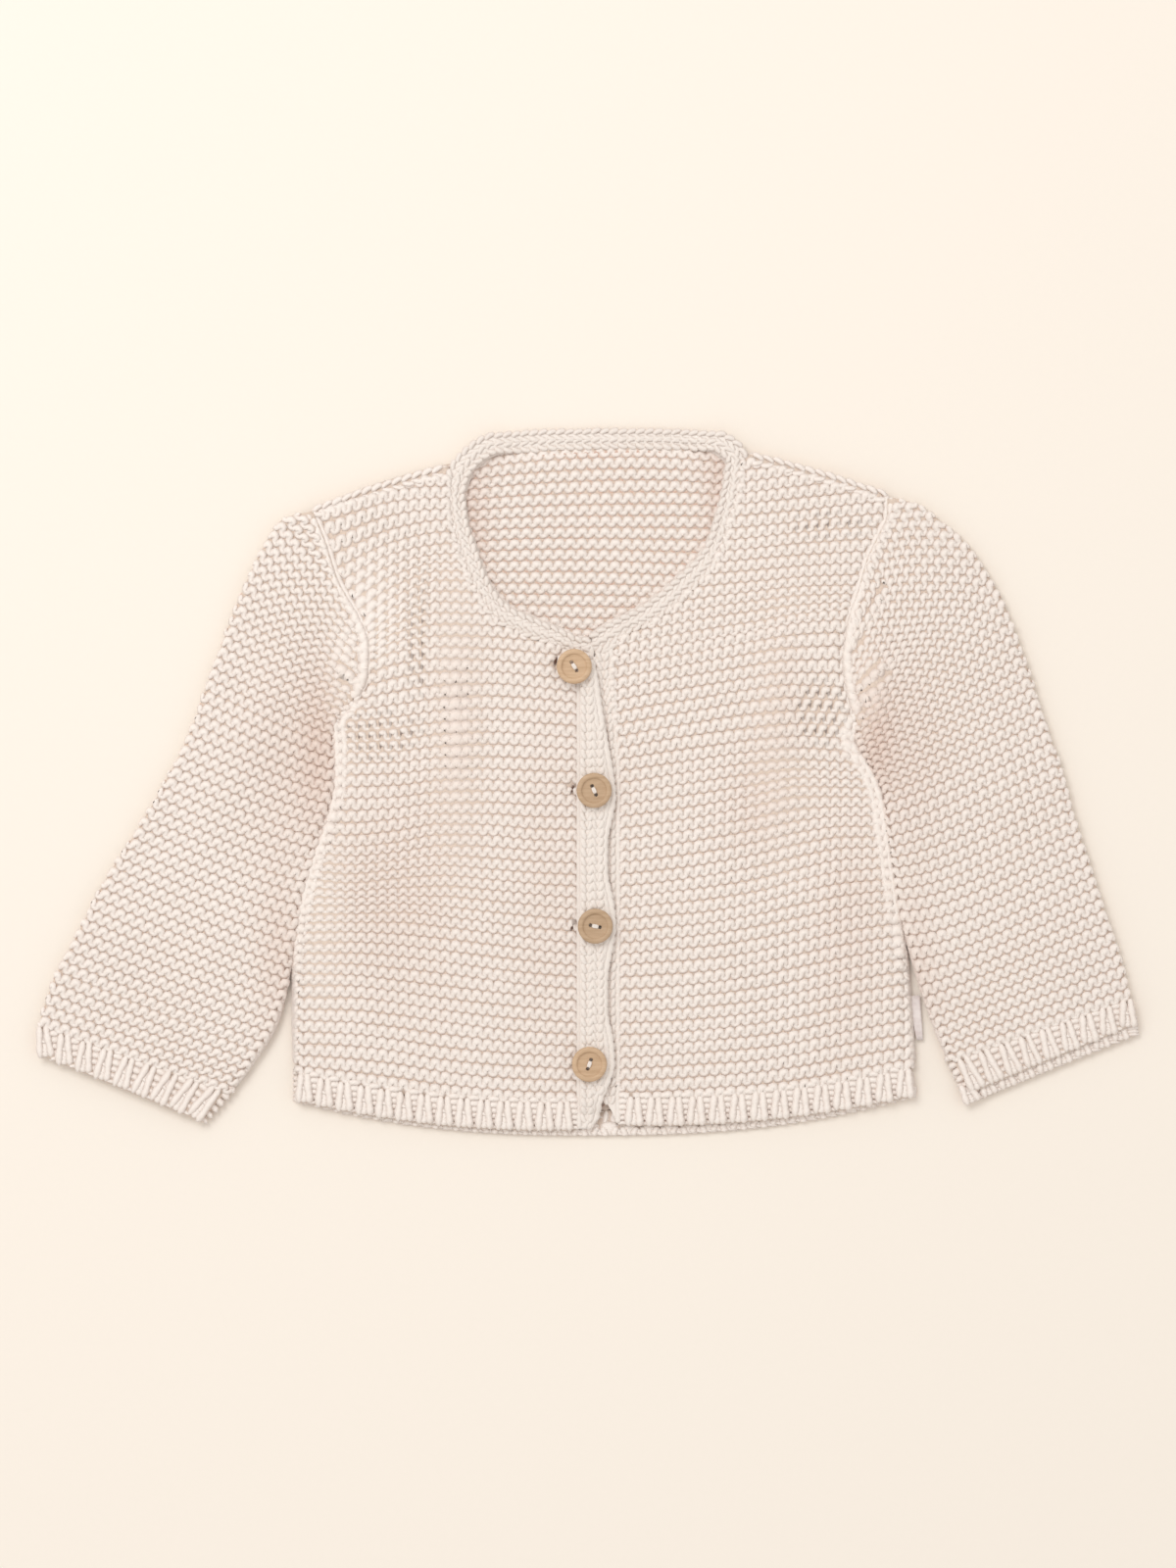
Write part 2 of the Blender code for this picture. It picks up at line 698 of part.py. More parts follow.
cardigan = bpy.data.collections.new("baby_cardigan")
cutters = bpy.data.collections.new("cutters")
bpy.context.scene.collection.children.link(cardigan)
bpy.context.scene.collection.children.link(cutters)
cutters.hide_render = True

yarn = make_material("yarn", YARN_COLOUR, 0.95)
band = make_material("band_yarn", BAND_COLOUR, 0.95)
wood = make_material("wood", WOOD_COLOUR, 0.5)
satin = make_material("satin", SATIN_COLOUR, 0.35)

make_back()
make_front("right_front", RIGHT_BODY)
make_front("left_front", LEFT_BODY)
front_rises = rib_rises(RIBS_PER_FRONT)
make_hem_rib("hem_rib_back", [back_point(0, share) for share in shares(BACK_POINTS)], back_base, None)
for name, table in (("right", RIGHT_BODY), ("left", LEFT_BODY)):
    line = [front_point(table, 0, share) for share in shares(len(front_rises))]
    make_hem_rib(f"hem_rib_{name}_front", line, front_base, front_rises)
make_neckband()
make_top_band()
make_under_band()
make_sleeve("right_sleeve", RIGHT_SLEEVE, RIGHT_BODY, -1)
make_sleeve("left_sleeve", LEFT_SLEEVE, LEFT_BODY, 1)
make_cuff("right_cuff", RIGHT_SLEEVE[-1], RIGHT_CUFF_END, 0)
make_cuff("left_cuff", LEFT_SLEEVE[-1], LEFT_CUFF_END, CUFF_PEEK)
for number, button in enumerate(BUTTONS, 1):
    make_button(number, button)
make_label()
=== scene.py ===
import math
from collections import namedtuple

import bpy
import numpy as np
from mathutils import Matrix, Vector


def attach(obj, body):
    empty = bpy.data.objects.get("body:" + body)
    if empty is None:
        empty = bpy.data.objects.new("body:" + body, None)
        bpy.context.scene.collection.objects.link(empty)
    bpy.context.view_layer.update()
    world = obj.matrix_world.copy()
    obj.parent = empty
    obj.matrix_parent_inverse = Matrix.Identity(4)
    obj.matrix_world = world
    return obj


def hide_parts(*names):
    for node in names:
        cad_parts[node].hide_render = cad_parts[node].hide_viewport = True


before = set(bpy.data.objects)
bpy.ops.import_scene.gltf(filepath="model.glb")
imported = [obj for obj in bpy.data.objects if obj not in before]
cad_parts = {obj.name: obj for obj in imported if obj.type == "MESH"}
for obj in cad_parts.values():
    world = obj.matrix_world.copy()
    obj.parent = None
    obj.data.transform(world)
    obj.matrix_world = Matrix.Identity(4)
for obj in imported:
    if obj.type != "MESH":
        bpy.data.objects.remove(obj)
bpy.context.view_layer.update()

# The table, the light and the camera. The cardigan lies on a plain cream table under a wide soft
# light from above its shoulders, and the camera looks straight down at it.

VIEW_HEIGHT = 0.672  # of the table that fills the picture from top to bottom
CAMERA_ACROSS = 0.0014  # the camera stands this far to the right of the cardigan's middle
CAMERA_UP = 1.6
CLOTH_TOP = 0.005
SENSOR = 36.0
TABLE_COLOUR = (0.915, 0.855, 0.785, 1)
TABLE_SIZE = 6.0
SKY_COLOUR = (1.0, 0.96, 0.91, 1)
SKY_STRENGTH = 0.82
SOFTBOX_SIZE = 1.1
SOFTBOX_POWER = 15.0
SOFTBOX_PLACE = (-0.72, 0.92, 1.7)
SOFTBOX_COLOUR = (1.0, 0.99, 0.97)


def fill(tree, made, inputs):
    """Sets a node's inputs, or links them where the value is another node's output."""
    for name, value in inputs.items():
        if isinstance(value, bpy.types.NodeSocket):
            tree.links.new(value, made.inputs[name])
        else:
            made.inputs[name].default_value = value


def node(tree, kind, inputs=None, **settings):
    made = tree.nodes.new(kind)
    for name, value in settings.items():
        setattr(made, name, value)
    fill(tree, made, inputs or {})
    return made


def blank_material(name):
    """A new material, its nodes, its surface, and the place on the object as an output."""
    material = bpy.data.materials.new(name)
    material.use_nodes = True
    tree = material.node_tree
    return material, tree, tree.nodes["Principled BSDF"], node(tree, "ShaderNodeTexCoord").outputs["Object"]


def noise(tree, place, scale, detail, roughness=0.5, distortion=0.0):
    cloud = node(tree, "ShaderNodeTexNoise", {"Vector": place, "Scale": scale, "Detail": detail})
    fill(tree, cloud, {"Roughness": roughness, "Distortion": distortion})
    return cloud.outputs["Fac"]


def mix(tree, share, first, second):
    mixed = node(tree, "ShaderNodeMix", {"Factor": share, "A": first, "B": second}, data_type="RGBA")
    return mixed.outputs["Result"]


def dimmed(colour, share):
    return tuple(share * part for part in colour[:3]) + (1,)


def make_table():
    material, tree, surface, place = blank_material("cream_table")
    grain = noise(tree, place, 340.0, 4.0, 0.6)
    tint = mix(tree, grain, TABLE_COLOUR, dimmed(TABLE_COLOUR, 0.985))
    fill(tree, surface, {"Base Color": tint, "Roughness": 0.85})
    bpy.ops.mesh.primitive_plane_add(size=TABLE_SIZE)
    table = bpy.context.object
    table.name = "table"
    table.data.materials.append(material)


def make_softbox():
    lamp = bpy.data.lights.new("softbox", "AREA")
    lamp.shape = "DISK"
    lamp.size = SOFTBOX_SIZE
    lamp.energy = SOFTBOX_POWER
    lamp.color = SOFTBOX_COLOUR
    holder = bpy.data.objects.new("softbox", lamp)
    holder.location = SOFTBOX_PLACE
    holder.rotation_euler = (-Vector(SOFTBOX_PLACE)).to_track_quat("-Z", "Y").to_euler()  # at the cardigan
    bpy.context.scene.collection.objects.link(holder)


make_table()
make_softbox()
sky = bpy.data.worlds.new("room")
sky.use_nodes = True
sky.node_tree.nodes["Background"].inputs["Color"].default_value = SKY_COLOUR
sky.node_tree.nodes["Background"].inputs["Strength"].default_value = SKY_STRENGTH
bpy.context.scene.world = sky
bpy.context.scene.view_settings.view_transform = "Standard"

lens = bpy.data.cameras.new("overhead")
lens.sensor_width = SENSOR
lens.lens = SENSOR * (CAMERA_UP - CLOTH_TOP) / VIEW_HEIGHT
overhead = bpy.data.objects.new("overhead", lens)
overhead.location = (CAMERA_ACROSS, 0, CAMERA_UP)
bpy.context.scene.collection.objects.link(overhead)
bpy.context.scene.camera = overhead

# The back is one flat knitted panel that lies on the table. It is knitted in thick cotton yarn, in
# rows that snake across it, and its inside shows within the neck. Sizes are in millimetres, from
# the foot of the centre front.

MM = 0.001
UP = np.array((0, 0, 1.0))
MIDDLE = (-3.5, 151.25, 0.0)  # of the laid-out garment
TINY = 1e-9  # keeps a division off 0

# Rows of the body, from the top of the hem ribbing to the shoulder. The side is where front and back
# are seamed, then the armhole. The front is where its own band is, then the neckband.
BodyRow = namedtuple("BodyRow", "side_x side_y front_x front_y sag back_y")
UNDERARM, NECK_CORNER, SHOULDER = 9, 11, 18  # rows of the tables below
EDGE_POINTS = 5  # along an edge, from one of these rows to the next
RIGHT_BODY = [BodyRow(*row) for row in (
    (-127.0, 26.5, -7.0, 14.0, 4.0, 11.5),
    (-127.5, 50.5, -7.0, 37.0, 3.5, 33.5),
    (-127.5, 73.5, -7.0, 59.5, 3.0, 59.0),
    (-124.5, 96.5, -7.0, 83.0, 2.5, 84.0),
    (-119.5, 117.0, -7.0, 104.0, 2.0, 105.0),
    (-112.5, 135.0, -7.0, 124.0, 1.5, 125.0),
    (-109.0, 153.5, -7.0, 143.0, 1.5, 145.0),
    (-109.0, 167.0, -7.0, 157.5, 1.0, 159.5),
    (-110.0, 176.5, -7.0, 169.5, 1.0, 171.5),
    (-102.0, 186.5, -7.0, 181.5, 0.0, 184.0),
    (-96.5, 197.5, -7.0, 193.0, 0.0, 194.5),
    (-96.0, 211.0, -7.0, 205.0, 0.0, 206.5),
    (-99.5, 222.0, -26.5, 213.5, 0.0, 218.5),
    (-104.5, 231.0, -40.5, 220.0, 0.0, 230.0),
    (-108.5, 238.5, -51.0, 232.5, 0.0, 243.0),
    (-111.5, 247.5, -57.0, 246.5, 0.0, 257.0),
    (-114.0, 255.5, -61.5, 261.0, 0.0, 271.0),
    (-117.0, 263.0, -63.0, 275.0, 0.0, 285.0),
    (-119.5, 269.0, -61.5, 287.5, -1.0, 295.5),
)]
LEFT_BODY = [BodyRow(*row) for row in (
    (137.0, 28.5, 12.0, 16.0, 4.0, 11.5),
    (136.0, 46.0, 12.0, 38.5, 3.5, 33.5),
    (134.0, 69.5, 12.0, 61.5, 3.0, 59.0),
    (130.0, 92.5, 12.0, 84.0, 2.5, 84.0),
    (127.0, 113.5, 12.0, 105.0, 2.0, 105.0),
    (124.5, 131.0, 12.0, 125.0, 1.5, 125.0),
    (122.0, 146.0, 12.0, 144.5, 1.5, 145.0),
    (116.5, 159.0, 12.0, 159.5, 1.0, 159.5),
    (110.0, 169.5, 11.0, 171.5, 1.0, 171.5),
    (112.0, 178.0, 10.5, 182.5, 0.0, 184.0),
    (109.0, 190.0, 9.5, 193.0, 0.0, 194.5),
    (107.0, 205.0, 9.0, 211.5, 0.0, 206.5),
    (108.0, 214.0, 25.0, 219.5, 0.0, 218.5),
    (109.5, 223.5, 35.5, 227.5, 0.0, 230.0),
    (113.0, 234.0, 45.5, 236.5, 0.0, 243.0),
    (117.0, 248.0, 55.0, 248.5, 0.0, 257.0),
    (122.0, 258.5, 60.0, 264.0, 0.0, 271.0),
    (125.5, 267.0, 64.5, 279.5, 0.0, 285.0),
    (125.5, 275.5, 65.5, 293.0, -1.0, 295.5),
)]
ARCH = 2.4  # power of the curve that the back's rows follow between the two sides

STITCH = 4.5  # along a row
ROW = 4.9  # from one row to the next
YARN = 1.45  # radius across the cloth
YARN_TIP = 0.45  # share of its radius that a strand keeps at its two ends
YARN_SWELL = 0.10  # the yarn is this much fuller round a wave's turns
CREST_SWELL = 0.12  # and fuller again over its crests, which stand up from the cloth
YARN_FLAT = 0.55  # share of it that the yarn keeps square to the cloth
CREASE_SHADE = 0.5  # how dark the painted shade goes down the sides of each strand, between two strands
YARN_SQUARE = 0.6  # power that squares the yarn's pressed section
SNAKE = 0.25  # half height of a row's waves, as a share of the row
BULGE = 0.072  # how far a wave's shoulders bulge, as a share of the stitch
CREST = 0.27  # how far a crest stands above a trough, each way
EDGE_MARGIN = 0.9  # the yarn's centre keeps this far inside a cut edge
UNDER_BASE = 0.95  # underside of the cloth's hidden core
INSIDE_TOP = 1.8  # and its upper side, in the back
INSIDE_STITCH = 4.8
OUTSIDE_AREA = (8.0, 300.0, -134.0, 144.0)  # of the rows: foot, head, right side and left side
INSIDE_AREA = (205.0, 300.0, -70.0, 74.0)  # what shows within the neck, and some more
SEEN_POINTS, BACK_POINTS, SLEEVE_BACK_POINTS = 10, 6, 7  # along a stitch, fewer on the unseen faces
YARN_SIDES, BACK_SIDES, BAND_SIDES, THREAD_SIDES = 5, 4, 6, 8  # of the yarn's section
PRESSED_AT = 0.02  # the lowest yarn lies flattened this far above the table
PALE_YARN = (0.93, 0.872, 0.835, 1)
SHADED_YARN = (0.89, 0.82, 0.772, 1)
PAINTED_SHADE_YARN = (0.60, 0.34, 0.24, 1)  # painted shade, as in the hollow of a fold
PAINTED_SHADOW_YARN = (0.11, 0.045, 0.025, 1)  # painted shadow within a buttonhole or an open stitch
# darker than the yarn: the far legs of the loops, and painted shade in the depths of the stitches
CORE_COLOUR = (0.80, 0.67, 0.58, 1)


def smooth(table, places):
    """Rows of a table at these places, on curves that never swing past its own rows."""
    table = np.asarray(table, float)
    steps = np.diff(table, axis=0)
    product = steps[:-1] * steps[1:]
    total = steps[:-1] + steps[1:]
    inner = np.where(product > 0, 2 * product / np.where(total == 0, 1, total), 0)
    slopes = np.concatenate([steps[:1], inner, steps[-1:]])
    places = np.asarray(places, float)
    row = np.clip(places.astype(int), 0, len(steps) - 1)
    t = (places - row)[..., None]
    start = table[row] * (1 + 2 * t) * (1 - t) ** 2 + slopes[row] * t * (1 - t) ** 2
    end = table[row + 1] * t * t * (3 - 2 * t) + slopes[row + 1] * t * t * (t - 1)
    return start + end


def ramp(value, low, high):
    """0 below low and 1 above high, with a soft rise between."""
    share = np.clip((value - low) / (high - low), 0, 1)
    return share * share * (3 - 2 * share)


def mesh_piece(name, points, faces, material, uv=None, flat=0):
    """An object from points in millimetres and lists of faces that each have as many corners.

    The last so many faces are shaded flat."""
    mesh = bpy.data.meshes.new(name)
    mesh.vertices.add(len(points))
    mesh.vertices.foreach_set("co", ((points - np.array(MIDDLE)) * MM).astype(np.float32).ravel())
    corners = np.concatenate([group.ravel() for group in faces])
    sizes = np.concatenate([np.full(len(group), group.shape[1]) for group in faces])
    mesh.loops.add(len(corners))
    mesh.loops.foreach_set("vertex_index", corners.astype(np.int32))
    mesh.polygons.add(len(sizes))
    starts = np.concatenate([[0], np.cumsum(sizes)[:-1]])
    mesh.polygons.foreach_set("loop_start", starts.astype(np.int32))
    mesh.polygons.foreach_set("use_smooth", np.arange(len(sizes)) < len(sizes) - flat)
    if uv is not None:
        layer = mesh.uv_layers.new(name="strand")
        layer.data.foreach_set("uv", uv[corners].astype(np.float32).ravel())
    mesh.update(calc_edges=True)
    mesh.materials.append(material)
    piece = bpy.data.objects.new(name, mesh)
    bpy.context.scene.collection.objects.link(piece)
    return piece


def grid_faces(rows, across, first=0, turned=False, round_it=False):
    """Quads over a grid of points, which may close into a tube."""
    row, step = np.meshgrid(np.arange(rows - 1), np.arange(across - (not round_it)), indexing="ij")
    after = (step + 1) % across
    near, far = row * across, (row + 1) * across
    corners = (near + step, near + after, far + after, far + step)
    faces = first + np.stack([corner.ravel() for corner in corners], axis=1)
    return faces[:, ::-1] if turned else faces


def cloth_core(name, top, under, material, round_it=False):
    """The closed sheet between two grids of points, which the yarn lies on."""
    rows, across = top.shape[:2]
    count = rows * across
    faces = [grid_faces(rows, across, 0, False, round_it), grid_faces(rows, across, count, True, round_it)]
    start, end = np.arange(across), (rows - 1) * across + np.arange(across)
    if round_it:
        edges = [(np.append(start, 0), True), (np.append(end, end[0]), False)]
    else:
        sides = [(np.arange(rows) * across, False), (np.arange(rows) * across + across - 1, True)]
        edges = [(start, True), (end, False)] + sides
    for line, turned in edges:
        wall = np.stack([line[:-1], line[1:], line[1:] + count, line[:-1] + count], axis=1)
        faces.append(wall[:, ::-1] if turned else wall)
    points = np.concatenate([top.reshape(-1, 3), under.reshape(-1, 3)])
    a, b, c, d = (points[np.concatenate(faces)[:, corner]] for corner in range(4))
    if (np.cross(c - a, d - b) * (a + b + c + d)).sum() < 0:  # inside out
        faces = [group[:, ::-1] for group in faces]
    return mesh_piece(name, points, faces, material, flat=sum(len(wall) for wall in faces[2:]))


def yarn_piece(name, strands, material, sides, shades=(), slits=None):
    """Joined lengths of yarn. A strand gives its points, the way out of the cloth and its radii, and
    where some of it has painted shadow, how dark, below 0. It gets painted shade at the shades and down
    the sides of each strand, and painted shadow where the slits are."""
    sizes = np.array([len(strand[0]) for strand in strands])
    points = np.concatenate([strand[0] for strand in strands])
    out = np.concatenate([np.broadcast_to(strand[1], strand[0].shape) for strand in strands])
    radii = np.concatenate([np.broadcast_to(strand[2], len(strand[0])) for strand in strands]).copy()
    last = np.cumsum(sizes) - 1
    first = last - sizes + 1
    before = np.maximum(np.arange(len(points)) - 1, 0)
    after = np.minimum(np.arange(len(points)) + 1, len(points) - 1)
    before[first] = first
    after[last] = last
    way = points[after] - points[before]
    way /= np.linalg.norm(way, axis=1, keepdims=True) + TINY
    side = np.cross(way, out)
    side /= np.linalg.norm(side, axis=1, keepdims=True) + TINY
    up = np.cross(side, way)
    radii[first] *= YARN_TIP
    radii[last] *= YARN_TIP
    turns = np.pi / 2 + 2 * np.pi * np.arange(sides) / sides
    rise = np.sign(np.sin(turns)) * np.abs(np.sin(turns)) ** YARN_SQUARE
    ring = (
        points[:, None]
        + radii[:, None, None] * np.cos(turns)[:, None] * side[:, None]
        + radii[:, None, None] * YARN_FLAT * rise[:, None] * up[:, None]
    )
    ring[..., 2] = np.maximum(ring[..., 2], PRESSED_AT)
    step = np.linalg.norm(np.diff(points, axis=0, prepend=points[:1]), axis=1)
    step[first] = 0
    length = np.cumsum(step)
    length -= np.repeat(length[first], sizes)
    uv = np.stack([np.repeat(length * 0.1, sides), np.tile(np.arange(sides) / sides, len(points))], axis=1)
    open_ended = np.ones(len(points), bool)
    open_ended[last] = False
    start = np.flatnonzero(open_ended)[:, None] * sides
    turn = np.arange(sides)
    following = (turn + 1) % sides
    corners = [start + turn, start + sides + turn, start + sides + following, start + following]
    quads = np.stack(corners, axis=2)
    caps = np.concatenate([first[:, None] * sides + turn, (last[:, None] * sides + turn)[:, ::-1]])
    piece = mesh_piece(name, ring.reshape(-1, 3), [quads.reshape(-1, 4), caps], material, uv, len(caps))
    # The shade attribute: painted shade above 0, painted shadow below 0.
    painted_shade = pull(shades, points[:, 0], points[:, 1])
    if slits:
        within = slits(points[:, 0], points[:, 1])
        painted_shade = np.where(within > 0.05, -within, painted_shade)
    dark = np.concatenate([strand[3] if len(strand) > 3 else np.zeros(len(strand[0])) for strand in strands])
    painted_shade = np.where(dark < -0.1, dark, painted_shade)
    # painted shade that darkens each strand towards its underside
    crease_shade = CREASE_SHADE * np.clip(0.6 - np.sin(turns), 0, 1.5)
    painted_shade = np.where(painted_shade[:, None] < 0, painted_shade[:, None], painted_shade[:, None] + crease_shade)
    values = piece.data.attributes.new("shade", "FLOAT", "POINT").data
    values.foreach_set("value", painted_shade.ravel().astype(np.float32))
    return piece


def snake(stitches, per_stitch):
    """A row's yarn: how far it runs along and across, how far out of the cloth, and how full it is."""
    phase = 2 * np.pi * np.arange(stitches * per_stitch + 1) / per_stitch
    along = phase / (2 * np.pi) + BULGE * np.sin(2 * phase)
    across, turns = 1.10 * np.cos(phase) - 0.13 * np.cos(3 * phase), np.cos(2 * phase)
    return along, across, CREST * across, YARN_SWELL * turns + CREST_SWELL * across


def nearest(flat, start, edge):
    """How far each of these points lies from the nearest of these edges."""
    away = flat[:, None] - start[None]
    share = np.clip((away * edge).sum(2) / ((edge ** 2).sum(1) + TINY), 0, 1)
    return np.sqrt(((away - share[..., None] * edge) ** 2).sum(2)).min(1)


def inside_distance(x, y, outline):
    """How far points lie inside a closed outline, and less than 0 outside it."""
    flat = np.stack([np.ravel(x), np.ravel(y)], axis=1)
    start = np.asarray(outline, float)
    edge = np.roll(start, -1, axis=0) - start
    gap = nearest(flat, start, edge)
    crosses = (start[:, 1] > flat[:, None, 1]) != (start[:, 1] + edge[:, 1] > flat[:, None, 1])
    rise = np.where(edge[:, 1] == 0, TINY, edge[:, 1])
    left = flat[:, None, 0] < start[:, 0] + (flat[:, None, 1] - start[:, 1]) / rise * edge[:, 0]
    within = (crosses & left).sum(1) % 2 == 1
    return np.where(within, gap, -gap).reshape(np.shape(x))


def line_distance(x, y, line):
    """How far points lie from an open line."""
    flat = np.stack([np.ravel(x), np.ravel(y)], axis=1)
    start = np.asarray(line[:-1], float)
    return nearest(flat, start, np.asarray(line[1:], float) - start).reshape(np.shape(x))


def runs(keep):
    """The stretches of a row that are kept, as slices."""
    edges = np.flatnonzero(np.diff(np.concatenate([[0], keep.astype(int), [0]])))
    return [slice(start, end) for start, end in edges.reshape(-1, 2) if end - start > 4]


def stretched(tree, place, scale, turn=0.0):
    mapped = node(tree, "ShaderNodeMapping", {"Vector": place, "Scale": scale, "Rotation": (0.0, 0.0, turn)})
    return mapped.outputs["Vector"]


def wave(tree, place, scale, distortion, way):
    inputs = {"Vector": place, "Scale": scale, "Distortion": distortion, "Detail": 1.0}
    return node(tree, "ShaderNodeTexWave", inputs, bands_direction=way).outputs["Fac"]


def weighted(tree, first, weight, second):
    """Some of the first value and all of the second."""
    summed = node(tree, "ShaderNodeMath", {0: first, 1: weight, 2: second}, operation="MULTIPLY_ADD")
    return summed.outputs["Value"]


def two_tones(tree, share, low, dark, high, pale):
    """A colour that runs from dark to pale as the share goes from low to high."""
    tone = node(tree, "ShaderNodeValToRGB", {"Fac": share})
    for number, (position, colour) in enumerate(((low, dark), (high, pale))):
        tone.color_ramp.elements[number].position = position
        tone.color_ramp.elements[number].color = colour
    return tone.outputs["Color"]


def bumped(tree, height, strength, distance):
    inputs = {"Height": height, "Strength": strength, "Distance": distance}
    return node(tree, "ShaderNodeBump", inputs).outputs["Normal"]


def yarn_material(name, pale, shaded):
    """Soft twisted cotton: mottled, with fine fibres along it and a dull sheen, darkened with painted shade
    and painted shadow where its shade attribute asks.
    """
    material, tree, surface, place = blank_material(name)
    strand = node(tree, "ShaderNodeUVMap", uv_map="strand").outputs["UV"]
    shade = node(tree, "ShaderNodeAttribute", attribute_name="shade").outputs["Fac"]
    mottle = weighted(tree, noise(tree, place, 26.0, 2.0), 0.45, noise(tree, place, 420.0, 3.0, 0.65))
    lit = two_tones(tree, mottle, 0.42, shaded, 0.95, pale)
    # The shade attribute below 0 gives the share of painted shadow.
    past = node(tree, "ShaderNodeMapRange", {"Value": shade, "From Min": 0.0, "From Max": -1.0})
    fibres = noise(tree, stretched(tree, strand, (26.0, 7.0, 1.0)), 1.0, 5.0, 0.7)
    ply = wave(tree, stretched(tree, strand, (3.2, 1.0, 1.0)), 1.0, 1.2, "DIAGONAL")
    rough = node(tree, "ShaderNodeMapRange", {"Value": fibres, "To Min": 0.78, "To Max": 1.0})
    fill(tree, surface, {
        "Base Color": mix(tree, past.outputs["Result"], mix(tree, shade, lit, PAINTED_SHADE_YARN), PAINTED_SHADOW_YARN),
        "Roughness": rough.outputs["Result"],
        "Normal": bumped(tree, weighted(tree, ply, 0.5, fibres), 0.55, 0.00022),
        "Sheen Weight": 0.25,
        "Sheen Roughness": 0.6,
        "Sheen Tint": (1.0, 0.96, 0.92, 1),
        "Specular IOR Level": 0.2,
    })
    return material


def core_material():
    """The inside of the stitches: loose fibres and the far legs of the loops, in a colour darkened by painted
    shade.
    """
    material, tree, surface, place = blank_material("stitch_core")
    loose = noise(tree, place, 900.0, 4.0, 0.7)
    fill(tree, surface, {
        "Base Color": two_tones(tree, loose, 0.35, dimmed(CORE_COLOUR, 0.82), 0.7, CORE_COLOUR),
        "Normal": bumped(tree, loose, 0.6, 0.0004),
        "Roughness": 1.0,
        "Specular IOR Level": 0.1,
    })
    return material


cotton = yarn_material("cotton_yarn", PALE_YARN, SHADED_YARN)
core = core_material()
uneven = np.random.default_rng(11)


def hand_over(pieces):
    """The pieces ride with the rest of the cardigan."""
    for piece in pieces:
        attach(piece, "root")


def back_points(place, share):
    """Points of the back's rows, a share of the way from its right side to its left."""
    right = smooth(RIGHT_BODY, place)
    left = smooth(LEFT_BODY, place)
    x = right[..., 0] + (left[..., 0] - right[..., 0]) * share
    y = right[..., 1] + (left[..., 1] - right[..., 1]) * share
    rise = right[..., 5] - (right[..., 1] + left[..., 1]) / 2
    return x, y + rise * (1 - np.abs(2 * share - 1) ** ARCH)


def back_outline():
    """From the foot round by the left side, the shoulders with the neck, and the right side."""
    place = np.linspace(0, SHOULDER, 73)
    share = np.linspace(0, 1, 41)
    sides = [
        back_points(np.zeros(41), share),
        back_points(place, np.ones(73)),
        back_points(np.full(41, SHOULDER), share[::-1]),
        back_points(place[::-1], np.zeros(73)),
    ]
    return np.concatenate([np.stack(side, axis=1)[:-1] for side in sides])


def back_rows(outline, stitch, per_stitch, out, height, area):
    """The snaking rows of one face of the back."""
    low, high, left, right = area
    table_y = np.array([entry.back_y for entry in RIGHT_BODY])
    strands = []
    count = int((right - left) / stitch)
    along, across, lift, swell = snake(count, per_stitch)
    for middle_y in np.arange(low, high, ROW):
        x = left + along * stitch + 0.3 * (middle_y - low) / ROW * (out > 0) + uneven.normal(0, 0.2)
        line = []
        for shift in (-0.5 * ROW, 0, 0.5 * ROW):
            place = np.interp(middle_y + shift, table_y, np.arange(len(table_y)))
            edge_right = smooth(RIGHT_BODY, place)
            edge_left = smooth(LEFT_BODY, place)
            share = np.clip((x - edge_right[0]) / (edge_left[0] - edge_right[0]), 0, 1)
            line.append(back_points(np.full(len(x), place), share)[1])
        waves = across * (SNAKE * (0.82 if out > 0 else 1.0) + uneven.normal(0, 0.008)) * ROW
        y = line[1] + waves * (line[2] - line[0]) / ROW
        y += 0.25 * np.sin(x / 17 + middle_y / 9)
        z = height + out * (lift - 0.9 * (1 - ramp(inside_distance(x, y, outline), 0.8, 3.0)))
        points = np.stack([x, y, z], axis=1)
        keep = inside_distance(x, y, outline) > EDGE_MARGIN
        radius = YARN * (1 + 0.04 * np.sin(np.arange(len(x)) * 0.37 + middle_y)) * (1 + swell)
        for run in runs(keep):
            strands.append((points[run], np.array((0, 0, out)), radius[run]))
    return strands


# Places of painted shade on the yarn: the middle of each place, how far it reaches each way, and how dark it
# is
Pull = namedtuple("Pull", "x y width height amount")
# painted shadow inside the neck, under the neckband
NECK_PAINTED_SHADE = [Pull(*row) for row in (
    (-53.0, 262.0, 9.0, 40.0, 0.20),
    (54.0, 282.0, 8.0, 26.0, 0.20),
    (0.0, 300.0, 45.0, 7.0, 0.08),
)]
# painted shade on the fronts, where their folds and dips fall darker
BODY_PAINTED_SHADE = [Pull(*row) for row in (
    (-86.0, 105.0, 24.0, 42.0, 0.12),
    (-58.0, 178.0, 10.0, 45.0, 0.13),
    (70.0, 143.0, 16.0, 24.0, 0.11),
    (80.0, 185.0, 10.0, 40.0, 0.09),
    (110.0, 90.0, 15.0, 50.0, 0.10),
    (-20.0, 110.0, 12.0, 70.0, 0.06),
)]


def pull(pulls, x, y):
    total = np.zeros(np.shape(x))
    for spot in pulls:
        across, along = (x - spot.x) / spot.width, (y - spot.y) / spot.height
        total = total + spot.amount * np.exp(-(across ** 2) - along ** 2)
    return np.clip(total, -1, 1)


